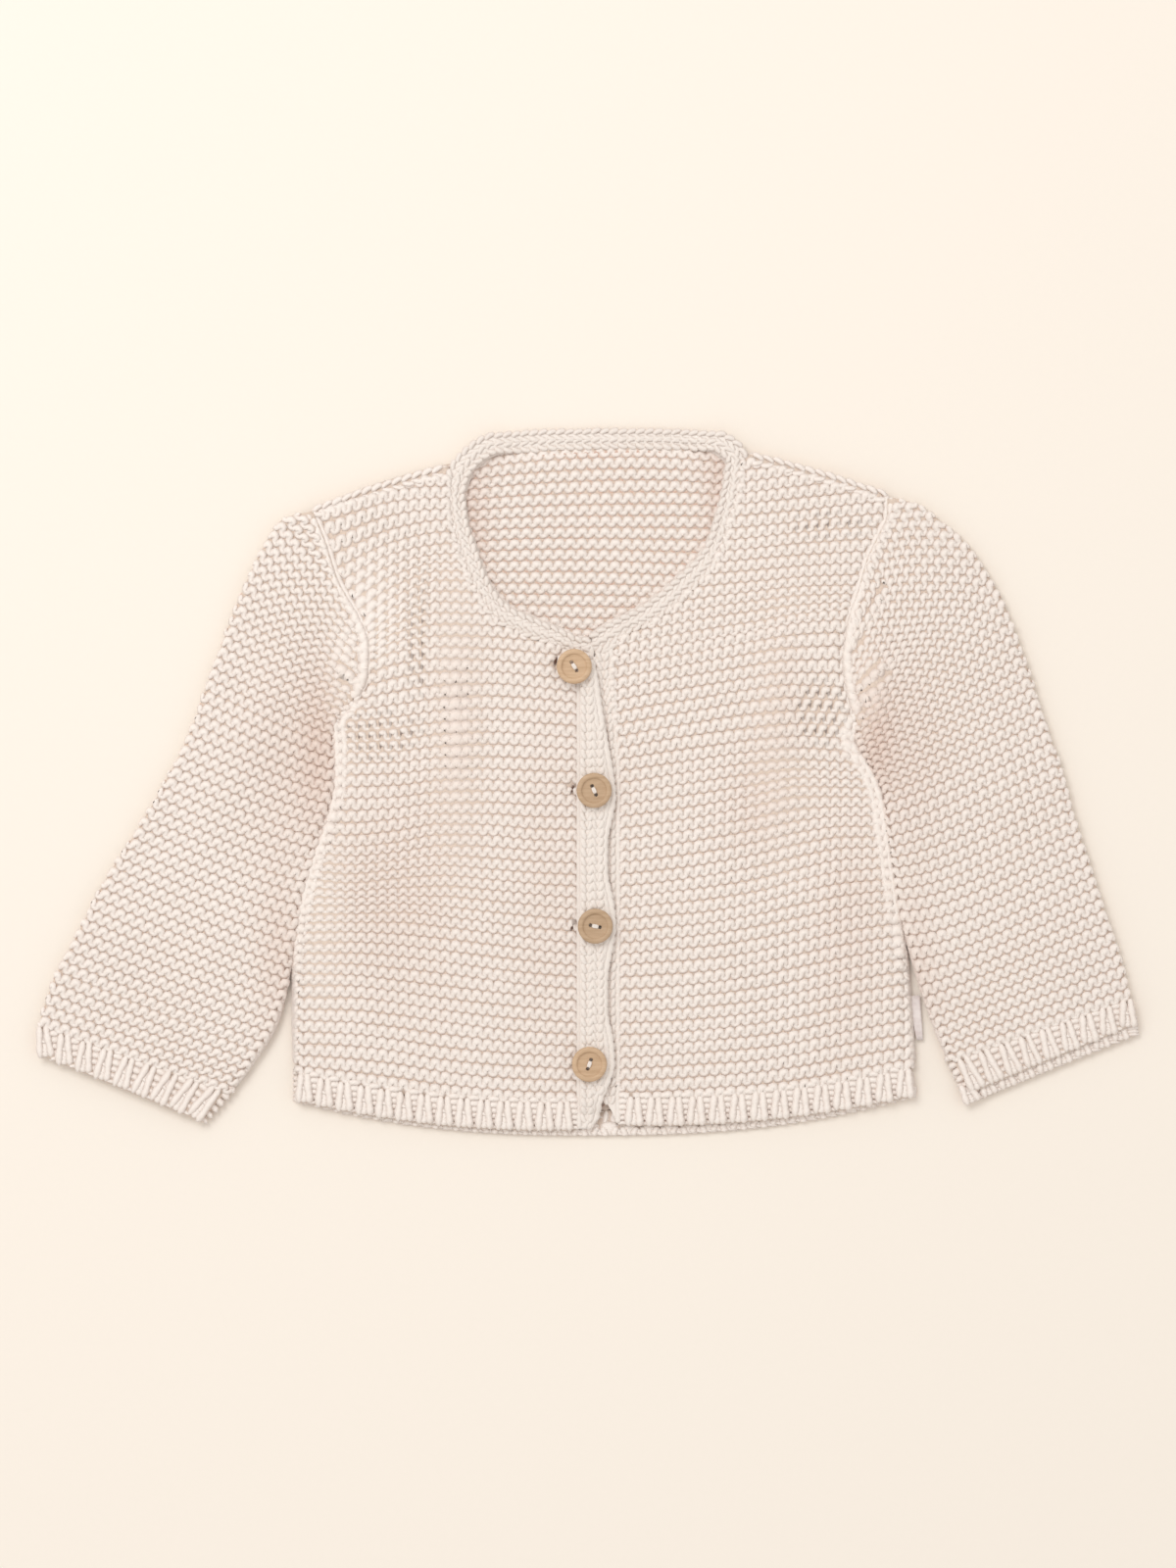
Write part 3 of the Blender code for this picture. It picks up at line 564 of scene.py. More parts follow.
def make_back():
    outline = back_outline()
    share = np.linspace(0, 1, 33)
    place = np.linspace(0, SHOULDER, 55)
    grid = np.meshgrid(place, 0.006 + 0.988 * share, indexing="ij")
    x, y = back_points(grid[0], grid[1])
    top = np.stack([x, y, np.full_like(x, INSIDE_TOP)], axis=2)
    under = np.stack([x, y, np.full_like(x, UNDER_BASE)], axis=2)
    cloth = cloth_core("back_cloth", top, under, core)
    outside = back_rows(outline, STITCH, BACK_POINTS, -1, UNDER_BASE + 0.08, OUTSIDE_AREA)
    outer = yarn_piece("back_outside_rows", outside, cotton, BACK_SIDES)
    inside = back_rows(outline, INSIDE_STITCH, SEEN_POINTS, 1, INSIDE_TOP, INSIDE_AREA)
    inner = yarn_piece("back_inside_rows", inside, cotton, YARN_SIDES, NECK_PAINTED_SHADE)
    hand_over((cloth, outer, inner))
    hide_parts("back")


make_back()

# The two fronts are knitted in the same rows, and lie on the back. They are pulled a little at the
# underarms, where the stitches stand open, and soft folds run down from the shoulders.

FRONT_BASE = 3.0
FRONT_CORE = 1.85  # thickness of the hidden core
FIRST_ROW = 16.4
FRONT_STITCHES = 30
RIGHT_SEAM_X, LEFT_SEAM_X = -4.6, 9.4  # the rows run in over the seams to the bands
PLACKET_RUN_IN = 5.5
ROW_TUCK = 2.6  # how far the rows run past the seam
BUTTONHOLES = ((-8.8, 149.1), (-8.8, 90.3), (-8.0, 32.3), (-16.0, 204.0))
SLIT_WAY = (0.35, 0.94)  # the way that a buttonhole runs
OPEN_STITCH_SHADOW = 0.9  # how dark the painted shadow on the thin legs of an open stitch is
SIDE_ROLLS = ((-4.6, 4.1, 2.0), (-1.5, 3.75, 2.2), (-0.2, 1.7, 1.5))  # from the side seam: out, up and radius
PLAIT_FOOT, PLAIT_HEAD = 0.06, 0.42  # how far a stitch's two legs open, as shares of its column

# How far the rows of a front have risen 0, 20, 40 and so on to 140 from its band. The first row of
# numbers is for the height RISE_START, and the others follow every RISE_STEP.
RISE_START, RISE_STEP, RISE_SPAN, RISE_REACH = 5.0, 25.0, 20.0, 139
RIGHT_RISE = (
    (0, -0.5, 0.0, 1.5, 4.0, 7.5, 11.5, 14.0),
    (0, 1.0, 2.4, 4.5, 7.8, 10.0, 11.0, 12.0),
    (0, 1.7, 3.8, 6.3, 9.0, 11.2, 11.4, 12.0),
    (0, 2.1, 4.6, 7.1, 9.2, 9.6, 9.0, 9.0),
    (0, 1.4, 3.2, 4.8, 3.8, 2.2, 4.0, 6.0),
    (0, 0.4, 2.0, 2.3, -0.7, -2.4, 0.0, 2.0),
    (0, 0.6, 1.6, 1.3, -0.8, -1.2, 0.0, 1.0),
    (0, 1.8, 2.9, 1.9, -0.9, -2.6, -3.0, -3.0),
    (0, 2.2, 4.0, 4.6, 2.2, -7.5, -20.0, -30.0),
    (0, 1.5, 3.2, 4.2, -2.5, -18.0, -36.0, -48.0),
    (0, 0.5, 0.8, 0.0, -4.0, -14.0, -26.0, -36.0),
    (0, 0.0, 0.0, 0.0, -1.0, -5.5, -11.0, -17.0),
    (0, 0.0, 0.0, 0.0, 0.0, -3.0, -7.0, -12.0),
)
LEFT_RISE = (
    (0, -0.2, 0.3, 1.8, 4.0, 7.0, 11.0, 14.0),
    (0, 1.0, 2.5, 4.0, 6.8, 10.9, 14.5, 18.0),
    (0, 0.9, 2.6, 5.1, 9.0, 13.3, 17.0, 20.0),
    (0, 2.1, 3.8, 7.0, 11.3, 15.6, 18.5, 21.0),
    (0, 2.1, 4.6, 8.1, 13.1, 16.6, 17.0, 17.0),
    (0, 2.8, 6.0, 9.9, 13.8, 14.2, 13.5, 13.0),
    (0, 3.2, 6.2, 8.8, 10.2, 9.0, 8.5, 8.0),
    (0, 3.9, 7.2, 10.5, 12.6, 12.0, 11.0, 10.0),
    (0, 3.9, 7.4, 10.9, 14.4, 16.0, 17.0, 18.0),
    (0, 3.2, 6.4, 8.5, 10.2, 11.0, 12.0, 13.0),
    (0, 3.0, 5.5, 7.5, 9.5, 11.5, 13.0, 14.0),
    (0, 2.5, 5.0, 7.5, 10.0, 12.5, 15.0, 17.0),
    (0, 2.5, 5.0, 7.5, 10.0, 12.5, 15.0, 17.0),
)

# Where stitches are pulled open, above 0, or lie close and flat, below 0
BODY_PULLS = [Pull(*row) for row in (
    (-93.0, 172.0, 15.0, 10.0, 1.0),
    (-75.0, 214.0, 5.0, 32.0, 0.7),
    (95.0, 182.0, 12.0, 14.0, 1.0),
    (100.0, 262.0, 22.0, 8.0, 0.5),
    (-58.0, 178.0, 9.0, 50.0, -1.0),
    (-97.0, 222.0, 14.0, 26.0, -0.7),
    (80.0, 160.0, 11.0, 55.0, -0.6),
    (-116.0, 95.0, 9.0, 40.0, -0.6),
)]

# Soft folds of the upper layers: middle, half length, half width, turn to the left, rise
Fold = namedtuple("Fold", "x y length width turn rise")
BODY_FOLDS = [Fold(*row) for row in (
    (-59.0, 172.0, 52.0, 9.0, 2.0, 1.3),
    (-36.0, 104.0, 62.0, 26.0, -4.0, 1.0),
    (-99.0, 212.0, 20.0, 9.0, -14.0, 0.9),
    (-104.0, 92.0, 44.0, 12.0, 6.0, 0.8),
    (79.0, 168.0, 55.0, 11.0, -3.0, 1.5),
    (103.0, 96.0, 33.0, 9.0, 14.0, 1.1),
    (47.0, 82.0, 48.0, 28.0, 8.0, 0.9),
    (101.0, 222.0, 24.0, 8.0, 9.0, 0.8),
)]


def fold_height(folds, x, y):
    height = np.zeros(np.shape(x))
    for fold in folds:
        turn = math.radians(fold.turn)
        across = (x - fold.x) * math.cos(turn) + (y - fold.y) * math.sin(turn)
        along = (y - fold.y) * math.cos(turn) - (x - fold.x) * math.sin(turn)
        height = height + fold.rise * np.exp(-((across / fold.width) ** 2) - (along / fold.length) ** 2)
    return height


def front_points(table, place, share):
    """Points of a front's rows, a share of the way from its side to its band."""
    row = smooth(table, place)
    x = row[..., 0] + (row[..., 2] - row[..., 0]) * share
    y = row[..., 1] + (row[..., 3] - row[..., 1]) * share
    return x, y - row[..., 4] * 4 * share * (1 - share)


def front_edges(table):
    """The side with the armhole, the shoulder, the neck with the band seam, and the foot."""
    place = np.linspace(0, SHOULDER, EDGE_POINTS * SHOULDER + 1)
    share = np.linspace(0, 1, 25)
    side = np.stack(front_points(table, place, np.zeros(len(place))), axis=1)
    shoulder = np.stack(front_points(table, np.full(25, SHOULDER), share), axis=1)
    front = np.stack(front_points(table, place[::-1], np.ones(len(place))), axis=1)
    foot = np.stack(front_points(table, np.zeros(25), share[::-1]), axis=1)
    return side, shoulder, front, foot


def reach_along(line):
    """How far along a line each of its points lies."""
    return np.concatenate([[0], np.cumsum(np.linalg.norm(np.diff(line, axis=0), axis=1))])


def at_reach(line, reach, at):
    """Points of a line at these distances along it."""
    return np.stack([np.interp(at, reach, line[:, axis]) for axis in range(line.shape[1])], axis=1)


def spaced(line, count):
    """Points spaced along a line of other points."""
    return at_reach(line, np.arange(len(line)), np.linspace(0, len(line) - 1, count))


def rise_at(rises, height, distance):
    row = smooth(rises, (height - RISE_START) / RISE_STEP)
    return smooth(row[:, None], distance / RISE_SPAN)[..., 0]


def plait(path, pitch, width, radius, lift=0.35):
    """A column of knit stitches: pairs of slanting legs that open the way the path runs."""
    reach = reach_along(path)
    count = max(int(round(reach[-1] / pitch)), 1)
    pitch = reach[-1] / count
    share = np.linspace(0, 1, 6)
    strands = []
    for step in range(count):
        at = np.clip((step - 0.15 + 1.2 * share) * pitch, 0, reach[-1])
        spine = at_reach(path, reach, at)
        ahead = at_reach(path, reach, np.minimum(at + 0.5, reach[-1]))
        way = ahead - at_reach(path, reach, np.maximum(at - 0.5, 0))
        way /= np.linalg.norm(way, axis=1, keepdims=True)
        side = np.stack([-way[:, 1], way[:, 0], np.zeros(6)], axis=1)
        for hand in (-1, 1):
            opens = PLAIT_HEAD - PLAIT_FOOT + uneven.normal(0, 0.03)
            spread = hand * width * (PLAIT_FOOT + opens * np.sin(share * np.pi * 0.62))
            leg = spine + side * spread[:, None]
            leg[:, 2] += lift * np.sin(np.pi * share) - 0.25 * lift
            thick = radius * (0.72 + 0.28 * np.sin(np.pi * share)) * (1 + uneven.normal(0, 0.07))
            strands.append((leg, UP, thick))
    return strands


def buttonhole_shadow(x, y):
    """How dark the painted shadow within the buttonholes is at these points, up to 1."""
    total = np.zeros(np.shape(x))
    for slit_x, slit_y in BUTTONHOLES:
        across = (x - slit_x - SLIT_WAY[0] * (y - slit_y)) / 0.55
        total = total + np.exp(-across ** 2 - ((y - slit_y) / 2.2) ** 4)
    return total


def front_rows(table, rises, seam_x, out_x):
    side, shoulder, front, foot = front_edges(table)
    run_in = PLACKET_RUN_IN * (out_x > 0)  # over the narrow top of the under band
    tuck = ROW_TUCK + run_in * ramp(front[:, 1], 172, 188) * (1 - ramp(front[:, 1], 204, 209))
    tucked = front - np.outer(tuck, (out_x, 0))
    underarm = EDGE_POINTS * UNDERARM
    armhole, free_edge = side[underarm:], side[:underarm + 1].copy()
    free_edge[:, 0] += out_x * (0.6 + 1.5 * ramp(free_edge[:, 1], 60, 90))  # it leans on the sleeve
    outline = np.concatenate([free_edge, armhole, shoulder[1:-1], tucked, foot[1:-1]])
    strands = []
    along, across, lift, swell = snake(FRONT_STITCHES, SEEN_POINTS)
    even = np.arange(len(along)) / SEEN_POINTS
    dive = np.clip(np.sin(2 * np.pi * even), 0, 1) ** 4  # one leg of each stitch
    for height in np.arange(FIRST_ROW, 300.0, ROW):
        shift = uneven.normal(0, 0.15)
        distance = np.clip(along * STITCH + shift, 0, RISE_REACH)
        x = seam_x + out_x * (distance - run_in * ramp(height, 158, 188) * (1 - ramp(height, 200, 210)))
        low, middle, high = (
            height + step + rise_at(rises, height + step, distance) for step in (-0.5 * ROW, 0, 0.5 * ROW)
        )
        spacing = high - low
        ease = pull(BODY_PULLS, x, middle)
        eased, flat = np.maximum(ease, 0), np.maximum(-ease, 0)
        edge_x = np.interp(middle, free_edge[:, 1], free_edge[:, 0])
        by_edge = (1 - ramp(np.abs(edge_x - x), 2.5, 9.0)) * ramp(middle, 45, 85) * (middle < 186)
        flat = np.maximum(flat, by_edge)
        x = x - out_x * ramp(flat, 0.6, 1.0) * (along - even) * STITCH  # a flat wave doesn't bulge
        wobble = np.repeat(uneven.normal(0, 1, FRONT_STITCHES + 1), SEEN_POINTS)[:len(x)]
        wave = across * (SNAKE * (1 + 0.18 * eased - 0.7 * flat) + 0.006 * wobble)
        y = middle + wave * spacing + 0.18 * np.sin(distance / 13 + height)
        z = FRONT_BASE + FRONT_CORE - 0.05 + fold_height(BODY_FOLDS, x, y)
        z += lift * (1 + 0.5 * eased - 0.8 * flat) - 0.8 * flat
        z -= 0.9 * (1 - ramp(line_distance(x, y, armhole), 0.0, 2.4))
        shoulder_dip = 1.5 * (1 - ramp(line_distance(x, y, shoulder), 0.5, 3.6))
        z -= shoulder_dip + 1.3 * (1 - ramp(line_distance(x, y, free_edge), 0.0, 3.0))
        radius = YARN * (1 - 0.22 * eased + 0.85 * flat ** 2) * np.clip(spacing / ROW, 0.8, 1.1)
        # the thin leg of each open stitch, which gets painted shadow
        slot = ramp(eased, 0.1, 0.6) * dive * np.clip(0.8 + 0.3 * wobble, 0.2, 1)
        radius = radius * (1 + 0.012 * wobble) * ((1 + swell * (1 - flat)) * (1 - 0.78 * slot))
        points = np.stack([x, y, z], axis=1)
        keep = (inside_distance(x, y, outline) > 0.1) & (distance > uneven.uniform(0, 1.4))
        for slit_x, slit_y in BUTTONHOLES:
            along_slit = (x - slit_x) * SLIT_WAY[0] + (y - slit_y) * SLIT_WAY[1]
            off_slit = (x - slit_x) * SLIT_WAY[1] - (y - slit_y) * SLIT_WAY[0]
            keep &= off_slit ** 2 / 0.16 + along_slit ** 2 / 3.2 > 1
        for run in runs(keep):
            strands.append((points[run], UP, radius[run], -OPEN_STITCH_SHADOW * slot[run]))
    for slit in BUTTONHOLES if out_x < 0 else ():  # a thin strand lies within each, dark with painted shadow
        inner = np.linspace(-2.2, 2.2, 5)[:, None] * (*SLIT_WAY, 0) + (*slit, FRONT_BASE + FRONT_CORE + 0.5)
        strands.append((inner, UP, 0.6))
    return strands + front_edging(free_edge, armhole, shoulder, out_x)


def front_edging(free_edge, armhole, shoulder, out_x):
    """The rolled side seam, what shows between it and the sleeve, and the sewn armhole and shoulder."""
    strands = []
    roll = spaced(free_edge[1:], 150)
    wave = np.cos(2 * np.pi * roll[:, 1] / ROW)
    rest = 0.9 * (1 - ramp(roll[:, 1], 60, 112))
    for offset, height, radius in SIDE_ROLLS:
        height = height - (rest - 0.12 * wave) * (height > 3)
        side_roll = np.column_stack([roll[:, 0] + out_x * offset, roll[:, 1], height])
        strands.append((side_roll, UP, radius * (1 + 0.08 * wave)))
    tuck = roll[roll[:, 1] > 114]
    tuck = np.column_stack([tuck[:, 0] + out_x * 1.2, tuck[:, 1], 3.2 + 0.15 * np.sin(tuck[:, 1] * 0.9)])
    strands.append((tuck, UP, 1.7 + 0.15 * np.cos(2 * np.pi * tuck[:, 1] / ROW)))
    sewn = spaced(armhole, 60) + np.array((out_x * 0.2, 0))
    height = FRONT_BASE + 1.3 + 0.15 * np.sin(np.arange(60) * 1.7)
    strands.append((np.column_stack([sewn, height]), UP, 1.5))
    under = shoulder + np.array((0, -0.5))
    for rise in (0.8, -0.7):
        height = FRONT_BASE + rise + fold_height(BODY_FOLDS, *under.T)
        strands.append((np.column_stack([under, height]), UP, 1.4))
    line = shoulder[:-1] + np.array((0, -1.5))
    height = FRONT_BASE + 1.75 + fold_height(BODY_FOLDS, *line.T)
    return strands + plait(np.column_stack([line, height]), STITCH, 4.6, 1.2)


def make_front(name, table, rises, seam_x, out_x):
    place = np.linspace(0, SHOULDER, 73)
    share = 0.008 + 0.992 * np.linspace(0, 1, 29)
    grid = np.meshgrid(place, share, indexing="ij")
    x, y = front_points(table, grid[0], grid[1])
    base = FRONT_BASE + fold_height(BODY_FOLDS, x, y)
    low_edge = 0.7 * (1 - ramp(line_distance(x, y, front_edges(table)[0]), 0.3, 3.0))
    top = np.stack([x, y, base + FRONT_CORE - low_edge], axis=2)
    under = np.stack([x, y, base + 0.05], axis=2)
    cloth = cloth_core(name + "_cloth", top, under, core)
    strands = front_rows(table, rises, seam_x, out_x)
    rows = yarn_piece(name + "_rows", strands, cotton, YARN_SIDES, BODY_PAINTED_SHADE, buttonhole_shadow)
    hand_over((cloth, rows))
    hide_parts(name)


make_front("right_front", RIGHT_BODY, RIGHT_RISE, RIGHT_SEAM_X, -1)
make_front("left_front", LEFT_BODY, LEFT_RISE, LEFT_SEAM_X, 1)

# Each panel ends in a ribbed hem, knitted on from the panel: columns of plaited stitches that stand up,
# with sunken columns between them.

SEAM = 0.35  # the gap between two pieces that are sewn together
RIB_DEPTH = 12.0
RIBS_PER_FRONT = 14
RIB_CENTRE, SUNK_CENTRE, POINTS_PER_RIB = 1.5, 3.5, 4
RIB_WALL = 2.6
RIB_RISE = 0.7
RIB_WIDTH, RIB_YARN = 8.0, 1.8
RIBS_PER_BACK = 31
# Bars of a sunken column, from its head down: how far down, and how thick
PURL_BARS = ((-0.06, 0.9), (0.16, 0.95), (0.37, 0.95), (0.57, 0.85), (0.77, 0.7), (0.95, 0.55))


def column(head, foot):
    """A column's head, its run down to the foot, and the ways down it and across it."""
    head = np.array(head, float)
    run = np.array(foot, float) - head
    way = run / np.linalg.norm(run)
    return head, run, way, np.array((-way[1], way[0], 0.0))


def rib_column(head, foot, width, radius):
    """A standing column of a ribbing: two plump legs that splay towards its foot, laced across."""
    head, run, way, side = column(head, foot)
    share = np.linspace(0, 1, 10)
    strands = []
    for hand in (-1, 1):
        spread = hand * width * (0.16 + 0.15 * share ** 0.8 + uneven.normal(0, 0.014))
        leg = head + run * share[:, None] + side * (spread + 0.12 * np.sin(9 * share + hand))[:, None]
        leg[:, 2] += 0.35 * np.sin(np.pi * share) - 0.5 * ramp(share, 0.85, 1.0)
        thick = radius * (0.92 + 0.12 * np.sin(14 * share + 2 * hand)) * (1 + uneven.normal(0, 0.03))
        strands.append((leg, UP, thick))
    inner = head + run * (0.2 + 0.78 * share[:, None]) - (0, 0, 0.25)
    strands.append((inner, UP, radius * (0.6 + 0.6 * share)))
    for at in (0.5, 0.78):
        across = np.linspace(-1, 1, 4)[:, None]
        bar = head + run * at + side * across * width * 0.15 + way * 0.5 * across
        bar[:, 2] += 0.35
        strands.append((bar, UP, 0.5 * radius))
    return strands


def purl_column(head, foot, width, radius):
    """The sunken column between two ribs: bars that shrink towards its foot."""
    head, run, way, side = column(head, foot)
    strands = []
    for at, size in PURL_BARS:
        across = np.linspace(-1, 1, 5)[:, None]
        bar = head + run * at + side * across * width / 2 - way * 0.6 * (1 - across ** 2)
        bar[:, 2] -= 0.4 * across[:, 0] ** 2
        strands.append((bar, UP, radius * size))
    return strands


def rib_core(name, line, base, rises, wall):
    """The closed core of a ribbed strip below a line."""
    drops = np.linspace(SEAM, RIB_DEPTH - 0.8, 5)
    x = np.repeat(line[0][None], 5, axis=0)
    y = line[1][None] - drops[:, None]
    low = np.repeat(base[None], 5, axis=0)
    top = np.stack([x, y, low + wall + rises[None]], axis=2)[:, ::-1]
    under = np.stack([x, y, low + 0.05], axis=2)[:, ::-1]
    return cloth_core(name, top, under, core)


def make_front_hem(name, table):
    across = np.arange(RIBS_PER_FRONT * POINTS_PER_RIB + 1)
    share = across / across[-1]
    x, y = front_points(table, np.zeros(len(across)), share)
    base = FRONT_BASE + fold_height(BODY_FOLDS, x, y)
    rises = 0.6 * np.isin(across % POINTS_PER_RIB, (1, 2))
    cloth = rib_core(name + "_cloth", (x, y), base, rises, 1.2)
    strands = []
    for rib in range(RIBS_PER_FRONT):
        for middle in (RIB_CENTRE, SUNK_CENTRE):
            place = rib * POINTS_PER_RIB + middle
            column_x, column_y, low = (np.interp(place, across, line) for line in (x, y, base))
            if middle == RIB_CENTRE:
                height = low + RIB_WALL + RIB_RISE - RIB_YARN * YARN_FLAT
                head = (column_x, column_y + 1.6, height - 0.3)
                foot = (column_x, column_y - RIB_DEPTH + 0.9, height)
                strands += rib_column(head, foot, RIB_WIDTH, RIB_YARN)
            else:
                head = (column_x, column_y + 0.8, low + 2.2)
                foot = (column_x, column_y - RIB_DEPTH + 1.0, low + 1.5)
                strands += purl_column(head, foot, RIB_WIDTH * 0.6, RIB_YARN * 0.85)
    ribs = yarn_piece(name + "_ribs", strands, cotton, YARN_SIDES)
    hand_over((cloth, ribs))
    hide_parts(name)


def make_back_hem():
    """Its lower ribs have its whole depth. The upper ones are a strip at its foot, the rest being hidden."""
    share = np.linspace(0, 1, 65)
    x, y = back_points(np.zeros(65), share)
    cloth = rib_core("hem_rib_back_cloth", (x, y), np.full(65, 0.9), np.zeros(65), 0.8)
    strands = []
    for rib in range(RIBS_PER_BACK):
        for offset, raised in ((0.25, True), (0.75, False)):
            column_x, column_y = (np.interp((rib + offset) / RIBS_PER_BACK, share, line) for line in (x, y))
            for height, face, top in ((1.75, 1, column_y - RIB_DEPTH + 4.6), (0.95, -1, column_y + 0.3)):
                make = rib_column if raised == (face > 0) else purl_column
                foot = (column_x, column_y - RIB_DEPTH + 0.9, height)
                strands += make((column_x, top, height), foot, RIB_WIDTH, RIB_YARN * 0.9)
    ribs = yarn_piece("hem_rib_back_ribs", strands, cotton, YARN_SIDES)
    hand_over((cloth, ribs))
    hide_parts("hem_rib_back")


make_front_hem("hem_rib_right_front", RIGHT_BODY)
make_front_hem("hem_rib_left_front", LEFT_BODY)
make_back_hem()

# The sleeves are knitted as tubes and sewn into the armholes. They lie pressed flat, with a soft
# rounded fold down each side, and their rows fan out round the top of the shoulder.

# Rows from the shoulder to the wrist: the outer fold's x and y, the inner fold's, and the row's bow
RIGHT_SLEEVE = (
    (-119.7, 269.0, -102.2, 186.5, 0.0),
    (-132.5, 265.9, -102.2, 186.7, 0.0),
    (-141.5, 253.7, -102.4, 186.5, 0.0),
    (-149.1, 238.6, -103.5, 184.5, 0.0),
    (-156.7, 220.1, -106.5, 180.5, 0.3),
    (-164.6, 199.5, -110.8, 173.0, 0.8),
    (-173.0, 175.6, -111.2, 150.0, 1.9),
    (-185.2, 151.2, -118.5, 124.3, 1.9),
    (-197.4, 130.2, -125.0, 100.8, 1.7),
    (-210.0, 110.5, -129.2, 76.0, 1.0),
    (-222.6, 86.1, -135.0, 50.0, 0.5),
    (-232.7, 66.4, -146.0, 31.5, 0.0),
    (-239.0, 47.5, -156.5, 18.1, 0.0),
)
LEFT_SLEEVE = (
    (125.5, 275.3, 112.0, 178.1, 0.0),
    (137.5, 272.6, 112.1, 177.4, 0.0),
    (149.9, 264.2, 112.2, 176.4, 0.0),
    (161.5, 253.7, 112.5, 174.6, 0.0),
    (170.9, 239.8, 112.8, 172.2, 0.3),
    (179.3, 223.4, 113.8, 168.0, 0.8),
    (186.9, 202.4, 117.0, 161.0, 1.2),
    (194.0, 180.6, 123.8, 148.0, 1.7),
    (202.0, 157.5, 126.8, 126.0, 2.5),
    (208.3, 133.6, 130.0, 104.2, 4.2),
    (215.5, 112.1, 135.5, 81.1, 3.6),
    (222.0, 92.8, 142.0, 59.5, 1.0),
    (227.6, 75.2, 148.0, 43.3, -0.6),
    (231.5, 59.0, 153.5, 31.1, 0.0),
)
# Their knitted rows, the first of which are cut off by the seam
RIGHT_KNIT = (
    (-119.7, 269.2, -80.0, 205.6, 0.0),
    (-132.5, 265.9, -89.5, 211.0, 0.0),
    (-141.5, 253.7, -95.2, 205.0, 0.0),
    (-149.1, 238.6, -99.0, 197.5, 0.0),
    (-156.7, 220.1, -103.3, 188.0, 0.3),
    (-164.6, 199.5, -110.5, 174.3, 0.8),
) + RIGHT_SLEEVE[6:]
LEFT_KNIT = (
    (125.5, 275.3, 103.0, 225.0, 1.0),
    (137.5, 272.6, 107.5, 210.5, 2.0),
    (149.9, 264.2, 104.0, 200.5, 2.5),
    (161.5, 253.7, 105.5, 189.5, 2.5),
    (170.9, 239.8, 108.0, 183.0, 2.0),
    (179.3, 223.4, 112.0, 173.5, 1.6),
) + LEFT_SLEEVE[6:]
SLEEVE_HEIGHT = 6.2
FOLD = 3.2  # how far in from its folded edge a sleeve has its full height
SEAM_FADES = 6  # the rows have lost the armhole's curve by this one
SLEEVE_ROW = 5.0  # between rows, along the outer edge
SLEEVE_STITCHES = 34
CORE_INSET, CORE_WALL = 1.0, 0.9  # of a tube's hidden core, below its skin
SLEEVE_PULLS = [Pull(*row) for row in (
    (118.0, 192.0, 7.0, 15.0, -1.0),
    (-106.5, 206.0, 7.0, 22.0, -1.0),
)]
# Where the sleeves dip beside the body, and painted shade darkens their yarn
RECESS_PAINTED_SHADE = [Pull(*row) for row in (
    (-117.0, 164.0, 9.0, 34.0, 0.24),
    (-130.0, 160.0, 20.0, 42.0, 0.13),
    (-134.0, 78.0, 10.0, 34.0, 0.17),
    (121.0, 170.0, 8.0, 26.0, 0.26),
    (134.0, 164.0, 17.0, 38.0, 0.14),
    (138.0, 66.0, 10.0, 36.0, 0.17),
)]
SLEEVE_FOLDS = [Fold(*row) for row in (
    (-150.0, 168.0, 62.0, 13.0, -24.0, 1.7),
    (-205.0, 84.0, 34.0, 15.0, -26.0, 1.0),
    (-131.0, 232.0, 22.0, 10.0, 12.0, 1.1),
    (-168.0, 76.0, 40.0, 12.0, -30.0, 0.7),
    (120.5, 192.0, 17.0, 5.0, 3.0, 1.9),
    (176.0, 146.0, 58.0, 14.0, 22.0, 1.6),
    (146.0, 232.0, 27.0, 11.0, 30.0, 1.3),
    (194.0, 72.0, 30.0, 15.0, 24.0, 0.8),
)]


def sleeve_points(rows, body, out, place, share, follow=1.0):
    """Points of a sleeve's rows, a share of the way from its outer fold to its inner one."""
    row = smooth(rows, place)
    x = row[..., 0] + (row[..., 2] - row[..., 0]) * share
    y = row[..., 1] + (row[..., 3] - row[..., 1]) * share
    seam = smooth(body, SHOULDER - (SHOULDER - UNDERARM) * np.clip(share, 0, 1))
    top, foot = body[SHOULDER], body[UNDERARM]
    fade = follow * np.clip(1 - place / SEAM_FADES, 0, 1) ** 1.5
    x = x + fade * (seam[..., 0] + out * 0.7 - top.side_x - (foot.side_x - top.side_x) * share)
    y = y + fade * (seam[..., 1] - top.side_y - (foot.side_y - top.side_y) * share)
    late = np.clip(share, 0, 1) ** 1.7
    return x, y - row[..., 4] * 4 * late * (1 - late)


def pressed(length, along, inset):
    """Where a pressed tube's skin is: share of its width, share of its height, and the way round it."""
    edge = FOLD - inset
    half = SLEEVE_HEIGHT / 2 - inset
    arc = np.pi / 2 * (edge + half) / 2
    total = 2 * arc + length - 2 * FOLD
    near = np.minimum(along, total - along)
    turn = np.clip(near / arc, -0.2, 1) * np.pi / 2
    distance = inset + edge * (1 - np.cos(turn)) + np.maximum(near - arc, 0)
    return np.where(along < total / 2, distance / length, 1 - distance / length), np.sin(turn), total


def tube_width(line):
    start, end = (np.array(line(np.array(share))) for share in (0.0, 1.0))
    return np.linalg.norm(end - start)


def tube_place(line, along, inset, face):
    """Points of a pressed tube's skin, on its upper or its lower face."""
    share, up, _ = pressed(tube_width(line), along, inset)
    x, y = line(share)
    rise = fold_height(SLEEVE_FOLDS, x, y) * up if face > 0 else 0
    z = SLEEVE_HEIGHT / 2 + face * (SLEEVE_HEIGHT / 2 - inset) * up + rise
    return np.stack([x, y, z], axis=1)


def tube_total(line, inset):
    return pressed(tube_width(line), np.array(0.0), inset)[2]


